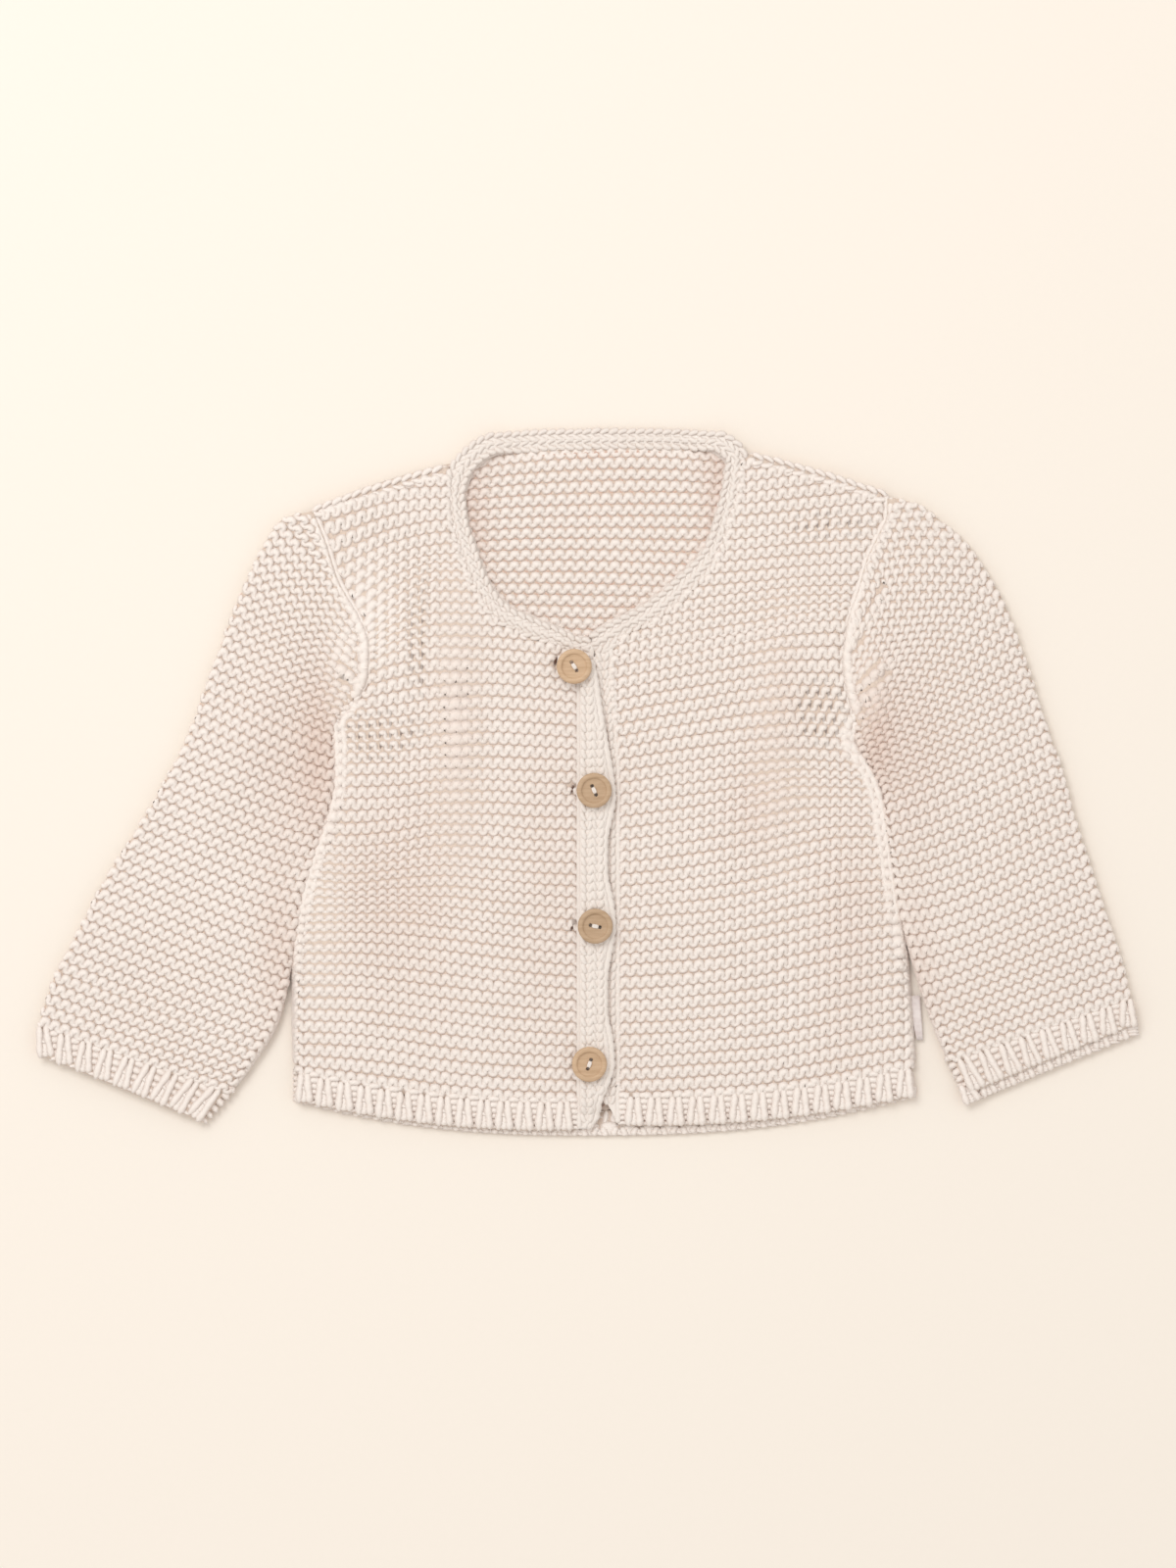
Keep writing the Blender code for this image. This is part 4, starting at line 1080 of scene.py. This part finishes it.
def tube_core(name, lines, inset, count, peeks=None):
    """A closed tube of core cloth, open at both ends, through these pressed rings."""
    loops = []
    for depth in (inset, inset + CORE_WALL):
        grid = []
        for number, line in enumerate(lines):
            total = tube_total(line, depth)
            upper = tube_place(line, np.linspace(0, total, count), depth, 1)
            lower = tube_place(line, np.linspace(total, 0, count)[1:-1], depth, -1)
            if peeks is not None:
                lower[:, :2] += peeks[number]
            grid.append(np.concatenate([upper, lower]))
        loops.append(np.array(grid))
    return cloth_core(name, loops[0], loops[1], core, True)


def sleeve_edges(rows, body, out):
    """The seam to the armhole, the inner fold, the wrist and the outer fold."""
    share, place = np.linspace(0, 1, 41), np.linspace(0, len(rows) - 1, 101)

    def edge(places, shares):
        return np.stack(sleeve_points(rows, body, out, places, shares), axis=1)

    inner = edge(place, np.ones(101)) + np.array((-out * 0.9, 0))
    wrist = edge(np.full(41, place[-1]), share[::-1])
    return edge(np.zeros(41), share), inner, wrist, edge(place[::-1], np.zeros(101))


def merged_rows(number, gap, ends_at):
    """Where the rows close up, one after another runs out and its neighbours widen into its place."""
    keep, wide, shift = np.ones(len(gap), bool), np.ones(len(gap)), np.zeros(len(gap))
    for step in (1, 2, 4):
        if number % (2 * step) == step:
            keep &= gap > ends_at[number] / step
        elif number % (2 * step) == 0:
            before, after = (
                1 - ramp(gap * step, ends_at[other] - 0.03, ends_at[other] + 0.03)
                for other in (number - step, number + step)
            )
            shift += 0.25 * step * (after - before)
            wide *= 1 + 0.5 * (before + after)
    return keep, wide, shift


def sleeve_strands(rows, knit, body, out):
    """The rows of both faces of a sleeve."""
    seam, inner, wrist, outer = sleeve_edges(rows, body, out)
    outline = np.concatenate([seam[:-1], inner[:-1], wrist[:-1], outer[:-1]])
    last = len(knit) - 1

    def knit_points(place, share):
        return sleeve_points(knit, body, out, place, share, 0.0)

    places = np.linspace(0, last, 400)
    reach = reach_along(np.stack(knit_points(places, np.zeros(400)), axis=1))
    count = int(reach[-1] / SLEEVE_ROW)
    spacing = reach[-1] / count
    ends_at = uneven.uniform(0.48, 0.60, count + 8)
    strands = []
    for face, per_stitch in ((1, SEEN_POINTS), (-1, SLEEVE_BACK_POINTS)):
        along, across, lift, swell = snake(SLEEVE_STITCHES, per_stitch)
        bulge = along - np.arange(len(along)) / per_stitch
        for number in range(count):
            at = np.array((number, number + 0.5, number + 1)) * spacing
            low, place, high = np.interp(at, reach, places)
            start, end = (np.array(knit_points(place, side)) for side in (0.0, 1.0))
            length = np.linalg.norm(end - start)
            way = (end - start) / length
            share = 0.5 + ((along - SLEEVE_STITCHES / 2) * STITCH + uneven.normal(0, 0.2)) / length
            part = (share > -0.06) & (share < 1.06)
            share, waves, rise, full = share[part], across[part], lift[part], swell[part]
            low_line, high_line = (
                np.stack(knit_points(np.full(len(share), line), share), axis=1) for line in (low, high)
            )
            apart = high_line - low_line
            gap = np.abs(apart[:, 0] * way[1] - apart[:, 1] * way[0]) / SLEEVE_ROW
            keep, wide, shift = merged_rows(number, gap, ends_at)
            flat = np.maximum(-pull(SLEEVE_PULLS, *low_line.T), 0)
            share -= ramp(flat, 0.6, 1.0) * bulge[part] * STITCH / length
            wave_step = (high - low) * wide
            moved = place + shift * (high - low) - waves * SNAKE * (1 - 0.62 * flat) * wave_step
            x, y = knit_points(np.clip(moved, 0, last), share)
            from_inner, from_outer = line_distance(x, y, inner), line_distance(x, y, outer)
            reached = np.clip((np.minimum(from_inner, from_outer) - 0.4) / (FOLD - 0.4), 0, 1)
            up = np.sqrt(1 - (1 - reached) ** 2)
            z = SLEEVE_HEIGHT / 2 + face * (SLEEVE_HEIGHT / 2 - 1.0 + rise) * up - 0.7 * flat * face
            from_seam = line_distance(x, y, seam)
            if face > 0:
                z += fold_height(SLEEVE_FOLDS, x, y) * up - 0.3 * (1 - ramp(from_seam, 1.4, 3.8))
            lean = np.where(from_inner < from_outer, 1, -1) * np.sqrt(1 - up ** 2)
            outward = np.stack([way[0] * lean, way[1] * lean, face * np.maximum(up, 0.05)], axis=1)
            radius = 1.07 * YARN * np.clip(gap * wide, 0.8, 1.12)
            radius = radius * (1 + 0.7 * flat ** 2) * (1 + full * (1 - flat))
            points = np.stack([x, y, z], axis=1)
            keep &= (inside_distance(x, y, outline) > 0.45) & (from_seam > (1.2 if face > 0 else 0.6))
            for run in runs(keep):
                strands.append((points[run], outward[run], radius[run]))
    fold = inner[3:-2] + np.array((out * 2.0, 0))  # what shows between the rows' ends
    strands.append((np.column_stack([fold, np.full(len(fold), 3.3)]), UP, 1.7))
    return strands + seam_roll(seam, out)


def seam_roll(seam, out):
    """The plump edge of the sleeve along the seam, lifted a little at every stitch."""
    ahead = np.gradient(seam, axis=0)
    ahead /= np.linalg.norm(ahead, axis=1, keepdims=True)
    inward = -out * np.stack([ahead[:, 1], -ahead[:, 0]], axis=1)
    reach = reach_along(seam)
    at = np.linspace(1.2, reach[-1] - 1.2, 170)
    wave = np.sin(2 * np.pi * at / STITCH)
    flat = at_reach(seam, reach, at) + (1.2 + 0.3 * wave)[:, None] * at_reach(inward, reach, at)
    ends = ramp(np.minimum(at, at[::-1]), 0, 5.0)
    height = 3.4 + 1.35 * ends + fold_height(SLEEVE_FOLDS, *flat.T) * ends + 0.15 * wave
    radius = 1.5 + 0.8 * ramp(at / reach[-1], 0.35, 0.8) + 0.2 * wave
    return [(np.column_stack([flat, height]), UP, radius)]


def make_sleeve(name, rows, knit, body, out):
    def ring(place):
        return lambda share: sleeve_points(rows, body, out, np.full(np.shape(share), place), share)

    lines = [ring(place) for place in np.linspace(0, len(rows) - 1, 49)]
    cloth = tube_core(name + "_cloth", lines, CORE_INSET, 42)
    strands = sleeve_strands(rows, knit, body, out)
    rows_piece = yarn_piece(name + "_rows", strands, cotton, YARN_SIDES, RECESS_PAINTED_SHADE)
    hand_over((cloth, rows_piece))
    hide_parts(name)


make_sleeve("right_sleeve", RIGHT_SLEEVE, RIGHT_KNIT, RIGHT_BODY, -1)
make_sleeve("left_sleeve", LEFT_SLEEVE, LEFT_KNIT, LEFT_BODY, 1)

# The cuffs are ribbed like the hem, and end the sleeves. The left one lies a little askew, so that its
# lower layer peeks out.

RIGHT_CUFF_END = (-237.0, 34.5, -167.5, 5.5)
LEFT_CUFF_END = (232.0, 47.5, 161.0, 17.5)
RIBS_PER_CUFF = 9
CUFF_PEEK = 4.5
CUFF_CORE_INSET, CUFF_SKIN_INSET = 1.1, 0.95  # of the core and of the ribs, below the cuff's skin
CUFF_REACH = 0.95  # share of its depth at which the ribs end


def make_cuff(name, start, end, peek_length):
    start, end = np.array(start[:4]), np.array(end)
    away = (end - start)[:2] + (end - start)[2:]
    reach = np.linalg.norm(away)
    depths = np.linspace(0.4 / reach, CUFF_REACH, 5)

    def ring(depth):
        edge = start + (end - start) * depth
        return lambda share: (edge[0] + (edge[2] - edge[0]) * share, edge[1] + (edge[3] - edge[1]) * share)

    def rib_end(share, depth, face, raised):
        line = ring(depth)
        at = np.array([share * tube_total(line, CUFF_SKIN_INSET)])
        point = tube_place(line, at, CUFF_SKIN_INSET, face)[0]
        if face < 0:
            point[:2] += away / reach * peek_length * max(depth, 0)
        point[2] += face * (0.0 if raised else -0.4)
        point[2] = max(point[2], 0.9)
        return point

    peeks = [away / reach * peek_length * depth for depth in depths]
    cloth = tube_core(name + "_cloth", [ring(depth) for depth in depths], CUFF_CORE_INSET, 40, peeks)
    strands = []
    for face in (1, -1):
        for rib in range(RIBS_PER_CUFF):
            for middle, make, other, width in (
                (RIB_CENTRE, rib_column, purl_column, RIB_WIDTH),
                (SUNK_CENTRE, purl_column, rib_column, RIB_WIDTH * 0.65),
            ):
                share = (rib * POINTS_PER_RIB + middle) / (RIBS_PER_CUFF * POINTS_PER_RIB)
                raised = middle == RIB_CENTRE
                head, foot = (rib_end(share, depth, face, raised) for depth in (-0.1, CUFF_REACH))
                strands += make(head, foot, width, RIB_YARN * 0.92)
                if face < 0 and peek_length:  # what peeks out shows its inside
                    raise_it = (0, 0, 1.9)
                    inside = (head + (foot - head) * 0.55 + raise_it, foot + raise_it)
                    strands += other(*inside, RIB_WIDTH, RIB_YARN * 0.9)
    ribs = yarn_piece(name + "_ribs", strands, cotton, YARN_SIDES)
    hand_over((cloth, ribs))
    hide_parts(name)


make_cuff("right_cuff", RIGHT_SLEEVE[-1], RIGHT_CUFF_END, 0.0)
make_cuff("left_cuff", LEFT_SLEEVE[-1], LEFT_CUFF_END, CUFF_PEEK)

# The neckband is a narrow smooth-knit strip along the whole neck opening, in the same yarn knitted
# tighter. Its columns of small plaited stitches run round the neck.

BAND_WALL = 2.4
NeckRow = namedtuple("NeckRow", "outer_x outer_y inner_x inner_y base")
# The band's inner edge along each front, from the neck's corner up
RIGHT_NECK = (
    (-5.5, 213.5), (-23.0, 221.0), (-35.5, 226.5), (-44.5, 236.5),
    (-49.5, 249.0), (-54.0, 262.5), (-56.0, 274.0), (-54.0, 282.0),
)
LEFT_NECK = (
    (5.5, 219.0), (21.0, 227.0), (31.5, 235.0), (40.0, 243.0),
    (48.5, 252.5), (53.0, 264.0), (56.5, 279.5), (58.0, 289.0),
)
RIGHT_NECK_END = NeckRow(-1.5, 205.5, -1.0, 213.5, FRONT_BASE)
LEFT_NECK_END = NeckRow(0.0, 207.0, -0.5, 214.5, FRONT_BASE)
RIGHT_NECK_TURN = (
    NeckRow(-53.5, 296.0, -48.0, 290.0, FRONT_BASE),
    NeckRow(-44.0, 301.0, -40.5, 294.0, 2.7),
)
LEFT_NECK_TURN = (
    NeckRow(55.0, 301.5, 51.0, 295.0, 2.7),
    NeckRow(61.0, 299.0, 54.5, 293.0, FRONT_BASE),
)
# Its outer edge along the back, and how high it lies there
BACK_NECK = (
    (-36.0, 302.0, 1.3), (-30.0, 302.5, 0.0), (-14.0, 303.0, 0.0), (4.0, 303.0, 0.0),
    (22.0, 303.0, 0.0), (38.0, 302.5, 0.0), (45.5, 302.0, 1.3),
)
# The rolled edge at the neck: share of the band's width, rise and radius
NECK_ROLLS = ((0.95, 0.85, 1.2), (0.92, -0.6, 1.5), (1.02, -1.0, 1.5))
BAND_STITCH, BAND_COLUMN, BAND_YARN, BAND_LIFT = 3.8, 4.6, 1.25, 0.3
BAND_PALE = (0.875, 0.82, 0.78, 1)
BAND_SHADED = (0.83, 0.762, 0.715, 1)


def band_column(x, y, base, drop=0.0):
    """A column of small plaited stitches on a band, its yarn level with the band's face."""
    path = np.stack([x, y, base + BAND_WALL - BAND_YARN * YARN_FLAT - drop], axis=1)
    return plait(path, BAND_STITCH, BAND_COLUMN, BAND_YARN, BAND_LIFT)


def neck_rows():
    sides = []
    for body, inner, side in ((RIGHT_BODY, RIGHT_NECK, -1), (LEFT_BODY, LEFT_NECK, 1)):
        place = np.linspace(NECK_CORNER, SHOULDER, 15)
        x, y = front_points(body, place, np.ones(15))
        ahead = np.gradient(np.stack([x, y], axis=1), axis=0)
        ahead /= np.linalg.norm(ahead, axis=1, keepdims=True)
        outer = np.stack([x - ahead[:, 1] * side * SEAM, y + ahead[:, 0] * side * SEAM], axis=1)
        edge = smooth(inner, place - NECK_CORNER)
        base = FRONT_BASE + np.minimum(fold_height(BODY_FOLDS, *outer.T), fold_height(BODY_FOLDS, *edge.T))
        sides.append([NeckRow(*a, *b, c) for a, b, c in zip(outer, edge, base)])
    across_back = []
    corner_x = RIGHT_BODY[SHOULDER].side_x
    width = LEFT_BODY[SHOULDER].side_x - corner_x
    for x, outer_y, base in BACK_NECK:
        inner_y = back_points(np.array(float(SHOULDER)), np.array((x - corner_x) / width))[1] + SEAM
        across_back.append(NeckRow(x, outer_y, x, float(inner_y), base))
    right = [RIGHT_NECK_END, *sides[0], *RIGHT_NECK_TURN]
    return [*right, *across_back, *LEFT_NECK_TURN, *sides[1][::-1], LEFT_NECK_END]


def make_neckband():
    table = neck_rows()
    fine = smooth(table, np.linspace(0, len(table) - 1, 5 * (len(table) - 1) + 1))

    def across(share):
        return [fine[:, axis] + (fine[:, axis + 2] - fine[:, axis]) * share for axis in (0, 1)]

    share = np.linspace(0.02, 0.98, 9)
    x, y = np.stack([across(at) for at in share], axis=2)
    crown = 1 - np.abs(2 * share - 1) ** 3
    top = np.stack([x, y, fine[:, 4:5] + 0.8 + 1.25 * crown], axis=2)
    under = np.stack([x, y, np.repeat(np.maximum(fine[:, 4:5] - 1.3, 0.3), 9, axis=1)], axis=2)
    cloth = cloth_core("neckband_cloth", top, under, band_cotton)
    strands = []
    for column_share in (0.26, 0.74):
        strands += band_column(*across(column_share), fine[:, 4], 0.1)
    for edge_share, rise, radius in NECK_ROLLS:
        height = np.maximum(fine[:, 4] + rise - 0.9 * (fine[:, 4] < 2), 1.0)
        edge = np.column_stack([*across(edge_share), height])
        strands.append((edge, UP, radius * (1 + 0.06 * np.sin(np.arange(len(edge)) * 1.9))))
    rows_piece = yarn_piece("neckband_columns", strands, band_cotton, YARN_SIDES)
    hand_over((cloth, rows_piece))
    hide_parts("neckband")


band_cotton = yarn_material("band_cotton", BAND_PALE, BAND_SHADED)
make_neckband()

# Each front ends in a narrow band. The right front's carries the buttonholes and lies on top, and its
# free edge waves between the buttons. The left front's carries the buttons, and lies underneath.

OVER_BAND = 2.8  # how much higher the top band lies where it is over the other one
CLEAR_OF_EDGE = -2.7  # it has that height from this x on
# Along the top band: height, its free edge, and how much of it lies over the under band
TOP_BAND = (
    (3.5, -1.0, 0.0),
    (9.0, 3.0, 0.0),
    (15.0, 4.0, 0.9),
    (22.5, 7.0, 1.0),
    (31.5, 9.5, 1.0),
    (41.0, 9.0, 1.0),
    (54.5, 6.5, 1.0),
    (67.0, 6.5, 1.0),
    (80.0, 8.5, 1.0),
    (90.5, 10.0, 1.0),
    (101.0, 9.0, 1.0),
    (114.0, 6.5, 1.0),
    (126.0, 6.5, 1.0),
    (136.5, 8.5, 1.0),
    (146.0, 10.0, 1.0),
    (155.5, 9.0, 1.0),
    (170.0, 6.5, 1.0),
    (185.0, 4.0, 1.0),
    (195.5, 2.5, 1.0),
    (204.4, 0.5, 1.0),
)
# Along the under band: height and its free edge
UNDER_BAND = (
    (6.0, 10.0),
    (10.0, 8.4),
    (13.0, 6.6),
    (16.5, 4.6),
    (20.0, 1.5),
    (24.5, -2.0),
    (60.0, -2.0),
    (100.0, -2.0),
    (150.0, -2.0),
    (190.0, -2.0),
    (204.4, -2.0),
)
UNDER_BAND_RISES = 6.3  # how much higher its upper end is at the seam than at its free edge
TOP_COLUMNS, UNDER_COLUMNS = (4.2, 8.6), (4.6, 9.0)  # how far each knit column lies from the seam
FILLER = 1.45  # radius of the strand that fills the seam
# The strand that closes each band's upper corner against the neckband
TOP_CORNER = ((-0.7, 203.5, 4.6), (-0.7, 207.0, 4.4), (-0.8, 210.5, 4.3), (-0.9, 213.0, 4.0))
UNDER_CORNER = ((1.0, 206.0, 4.0), (5.0, 208.5, 4.3), (9.0, 211.0, 4.4), (12.5, 213.0, 4.3))
BAND_ROLLS = ((1.2, 2.2, 1.4), (1.5, 1.1, 1.55), (3.6, 0.95, 1.45))  # the free edge: in, down and radius


def under_seam_x(y):
    heights = smooth(LEFT_BODY, np.linspace(0, NECK_CORNER, 200))
    return np.interp(y, heights[:, 3], heights[:, 2]) - SEAM


def top_band_base(x, y, over):
    left = RIGHT_BODY[0].front_x + SEAM
    return FRONT_BASE + fold_height(BODY_FOLDS, x, y) + OVER_BAND * over * ramp(x, left, CLEAR_OF_EDGE)


def finish_band(name, top, under, strands):
    """A band's closed core and its yarn, from the rows of its two faces."""
    cloth = cloth_core(name + "_cloth", top[::-1], under[::-1], band_cotton)
    columns = yarn_piece(name + "_columns", strands, band_cotton, BAND_SIDES)
    hand_over((cloth, columns))
    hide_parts(name)


def make_top_band():
    fine = smooth(TOP_BAND, np.linspace(0, len(TOP_BAND) - 1, 4 * len(TOP_BAND) - 3))
    y, edge_x, over = fine.T
    left = RIGHT_BODY[0].front_x + SEAM
    share = np.linspace(0.03, 0.97, 10)
    x = left + (edge_x[:, None] - left) * share
    base = top_band_base(x, y[:, None], over[:, None])
    rows_y = np.repeat(y[:, None], 10, axis=1)
    top = np.stack([x, rows_y, base + 2.0 - 1.0 * (share > 0.8)], axis=2)
    under = np.stack([x, rows_y, base + 0.3], axis=2)
    strands = []
    for offset in TOP_COLUMNS:
        column_x = np.full(len(y), left + offset)
        for run in runs(edge_x - 2.9 - column_x > 0):
            strands += band_column(column_x[run], y[run], top_band_base(column_x, y, over)[run])
    filler = np.column_stack([np.full(len(y), left + 0.9), y, top_band_base(left + 0.9, y, over) + 1.5])
    strands.append((filler, UP, FILLER))
    strands.append((np.array(TOP_CORNER), UP, 1.5))
    fine_y = np.linspace(y[0], y[-1], 220)
    for inset, drop, radius in BAND_ROLLS:
        edge = np.interp(fine_y, y, edge_x) - inset
        height = top_band_base(edge, fine_y, np.interp(fine_y, y, over)) + BAND_WALL - drop
        wave = np.sin(2 * np.pi * fine_y / BAND_STITCH)
        roll = np.stack([edge + 0.15 * wave, fine_y, height], axis=1)
        strands.append((roll, UP, radius * (1 + 0.05 * wave)))
    finish_band("button_band_top", top, under, strands)


def make_under_band():
    fine = smooth(UNDER_BAND, np.linspace(0, len(UNDER_BAND) - 1, 6 * len(UNDER_BAND) - 5))
    y, edge_x = fine.T
    slant = UNDER_BAND_RISES * ramp(y, 190, 204.4)
    right = under_seam_x(y + slant)
    share = np.linspace(0.04, 0.97, 7)
    x = edge_x[:, None] + (right - edge_x)[:, None] * share
    rows_y = y[:, None] + slant[:, None] * share
    base = FRONT_BASE + fold_height(BODY_FOLDS, x, rows_y)
    top = np.stack([x, rows_y, base + 1.85], axis=2)
    under = np.stack([x, rows_y, base + 0.3], axis=2)
    strands = []
    for offset in UNDER_COLUMNS:
        column_x = right - offset
        column_y = y + slant * (column_x - edge_x) / (right - edge_x)
        column_base = FRONT_BASE + fold_height(BODY_FOLDS, column_x, column_y)
        for run in runs(column_x - edge_x - 1.0 > 0):
            strands += band_column(column_x[run], column_y[run], column_base[run])
    filler_base = FRONT_BASE + fold_height(BODY_FOLDS, right, y + slant)
    strands.append((np.column_stack([right - 0.9, y + slant, filler_base + 1.5]), UP, FILLER))
    strands.append((np.array(UNDER_CORNER), UP, 1.7))
    finish_band("button_band_under", top, under, strands)


make_under_band()
make_top_band()

# The four buttons are turned from pale wood, with a raised rim, a dished middle and two holes, and
# are sewn on with a few turns of pale thread. A slit of a buttonhole shows at each one's left.

Button = namedtuple("Button", "x y turn tone")
BUTTONS = [Button(*row) for row in (
    (-8.0, 201.5, 32.0, 1.0),
    (0.5, 148.5, 24.0, 0.86),
    (1.0, 90.5, 78.0, 0.82),
    (-1.5, 31.5, -20.0, 0.97),
)]
BUTTON_RADIUS = 7.5
BUTTON_BASE = 8.6  # its underside above the table, and higher where a fold lies below it
HOLE_RADIUS = 0.8
HOLE_SPACING = 4.0
ROUND, HOLE_ROUND = 56, 16  # points round a button and round a hole
BUTTON_PROFILE = (  # radius and height, from the dished middle over the rim to the underside
    (0.0, 2.05), (3.4, 2.0), (4.9, 1.95), (5.15, 2.05), (5.35, 2.7), (5.6, 2.92), (6.1, 3.0), (6.7, 2.95),
    (7.15, 2.7), (7.4, 2.3), (7.5, 1.8), (7.5, 1.1), (7.35, 0.6), (6.9, 0.2), (6.2, 0.0), (0.0, 0.0),
)
WOOD_PALE = (0.64, 0.455, 0.30)
WOOD_DARK = (0.52, 0.35, 0.215)


def wood_material(number, shade):
    material, tree, surface, place = blank_material(f"turned_wood_{number}")
    grain = noise(tree, stretched(tree, place, (90.0, 900.0, 300.0), 0.9), 1.0, 6.0, 0.6, 0.6)
    fill(tree, surface, {
        "Base Color": two_tones(tree, grain, 0.3, dimmed(WOOD_DARK, shade), 0.62, dimmed(WOOD_PALE, shade)),
        "Normal": bumped(tree, grain, 0.25, 0.0002),
        "Roughness": 0.5,
        "Specular IOR Level": 0.35,
    })
    return material


def wood_disc(number, button, base, wood):
    turns = 2 * np.pi * np.arange(ROUND) / ROUND
    rings = np.array(BUTTON_PROFILE[1:-1])
    points = np.stack([
        button.x + rings[:, :1] * np.cos(turns),
        button.y + rings[:, :1] * np.sin(turns),
        base + np.repeat(rings[:, 1:], ROUND, axis=1),
    ], axis=2).reshape(-1, 3)
    middles = np.array([(button.x, button.y, base + BUTTON_PROFILE[0][1]), (button.x, button.y, base)])
    upper, lower = len(points), len(points) + 1
    step = np.arange(ROUND)
    after = (step + 1) % ROUND
    last = (len(rings) - 1) * ROUND
    fans = [
        np.stack([np.full(ROUND, upper), step, after], axis=1),
        np.stack([np.full(ROUND, lower), last + after, last + step], axis=1),
    ]
    faces = [grid_faces(len(rings), ROUND, 0, True, True), *fans]
    return mesh_piece(f"wood_button_{number}", np.concatenate([points, middles]), faces, wood)


def drill_hole(disc, spot, base, wood):
    ring = np.arange(HOLE_ROUND)
    angle = 2 * np.pi * ring / HOLE_ROUND
    x, y = spot[0] + HOLE_RADIUS * np.cos(angle), spot[1] + HOLE_RADIUS * np.sin(angle)
    points = np.concatenate([np.stack([x, y, np.full(HOLE_ROUND, base + z)], axis=1) for z in (-1.0, 5.0)])
    faces = [grid_faces(2, HOLE_ROUND, 0, False, True), ring[None, ::-1], HOLE_ROUND + ring[None]]
    drill = mesh_piece("drill", points, faces, wood)
    hole = disc.modifiers.new("hole", "BOOLEAN")
    hole.object = drill
    hole.solver = "EXACT"
    bpy.context.view_layer.update()
    drilled = bpy.data.meshes.new_from_object(disc.evaluated_get(bpy.context.evaluated_depsgraph_get()))
    disc.modifiers.clear()
    disc.data = drilled
    bpy.data.objects.remove(drill)


def make_button(number, button):
    wood = wood_material(number, button.tone)
    around = np.array([(button.x, button.y)] + [
        (button.x + BUTTON_RADIUS * math.cos(turn), button.y + BUTTON_RADIUS * math.sin(turn))
        for turn in np.arange(12) * math.pi / 6
    ])
    base = BUTTON_BASE + fold_height(BODY_FOLDS, around[:, 0], around[:, 1]).max()
    disc = wood_disc(number, button, base, wood)
    turn = math.radians(button.turn)
    x_way, y_way = -math.sin(turn), math.cos(turn)  # from one hole to the other
    spots = np.array([
        (button.x + x_way * side * HOLE_SPACING / 2, button.y + y_way * side * HOLE_SPACING / 2)
        for side in (-1, 1)
    ])
    for spot in spots:
        drill_hole(disc, spot, base, wood)
    strands = []
    heading = spots[1] - spots[0]
    square = np.array((-heading[1], heading[0])) / np.linalg.norm(heading)
    share = np.linspace(0.14, 0.86, 9)
    lift = np.where((share > 0.16) & (share < 0.84), 0.45 - 1.5 * (2 * share - 1) ** 4, -1.6)
    for offset in (-0.38, 0.38):
        flat = spots[0] + share[:, None] * heading + square * offset * np.sin(np.pi * share)[:, None]
        strands.append((np.column_stack([flat, base + BUTTON_PROFILE[0][1] + lift]), UP, 0.5))
    thread = yarn_piece(f"button_thread_{number}", strands, band_cotton, THREAD_SIDES)
    hand_over((disc,))
    hand_over((thread,))
    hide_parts(f"button_{number}")


for number, button in enumerate(BUTTONS, 1):
    make_button(number, button)

# A blank satin tab, folded double, is sewn into the left side seam near the hem.

LABEL_TOP = ((135.0, 60.3), (140.4, 60.3))
LABEL_FOOT = ((139.0, 41.3), (141.8, 41.3))
SATIN_PALE = (0.84, 0.78, 0.77, 1)
SATIN_SHADED = (0.70, 0.62, 0.61, 1)
SATIN_THICK = 0.28


def satin_material():
    material, tree, surface, place = blank_material("satin_tab")
    ribs = wave(tree, place, 900.0, 0.6, "Y")
    mottle = noise(tree, place, 260.0, 3.0)
    fill(tree, surface, {
        "Base Color": two_tones(tree, mottle, 0.35, SATIN_SHADED, 0.65, SATIN_PALE),
        "Normal": bumped(tree, ribs, 0.3, 0.0001),
        "Roughness": 0.34,
        "Sheen Weight": 0.3,
    })
    return material


def make_label():
    down = np.linspace(0, 1, 9)[:, None]
    across = np.concatenate([np.linspace(0, 1, 7), [1.02], np.linspace(1, 0, 7)])
    top_z = np.concatenate([np.full(7, 2.0), [1.55], np.full(7, 1.1)])
    top, foot = np.array(LABEL_TOP), np.array(LABEL_FOOT)
    left, right = (top[side] + (foot[side] - top[side]) * down for side in (0, 1))
    flat = left[:, None] + (right - left)[:, None] * across[:, None]
    ripple = 0.12 * np.sin(9 * down + 2 * across[None]) * (top_z > 1.5)
    outer = np.concatenate([flat, (top_z[None] + ripple)[..., None]], axis=2)
    inner = outer.copy()
    inner[..., 2] += np.concatenate([np.full(7, -SATIN_THICK), [0.0], np.full(7, SATIN_THICK)])
    inner[:, 7, 0] -= SATIN_THICK
    tab = cloth_core("side_label_tab", outer[::-1], inner[::-1], satin)
    hand_over((tab,))
    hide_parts("side_label")


satin = satin_material()
make_label()
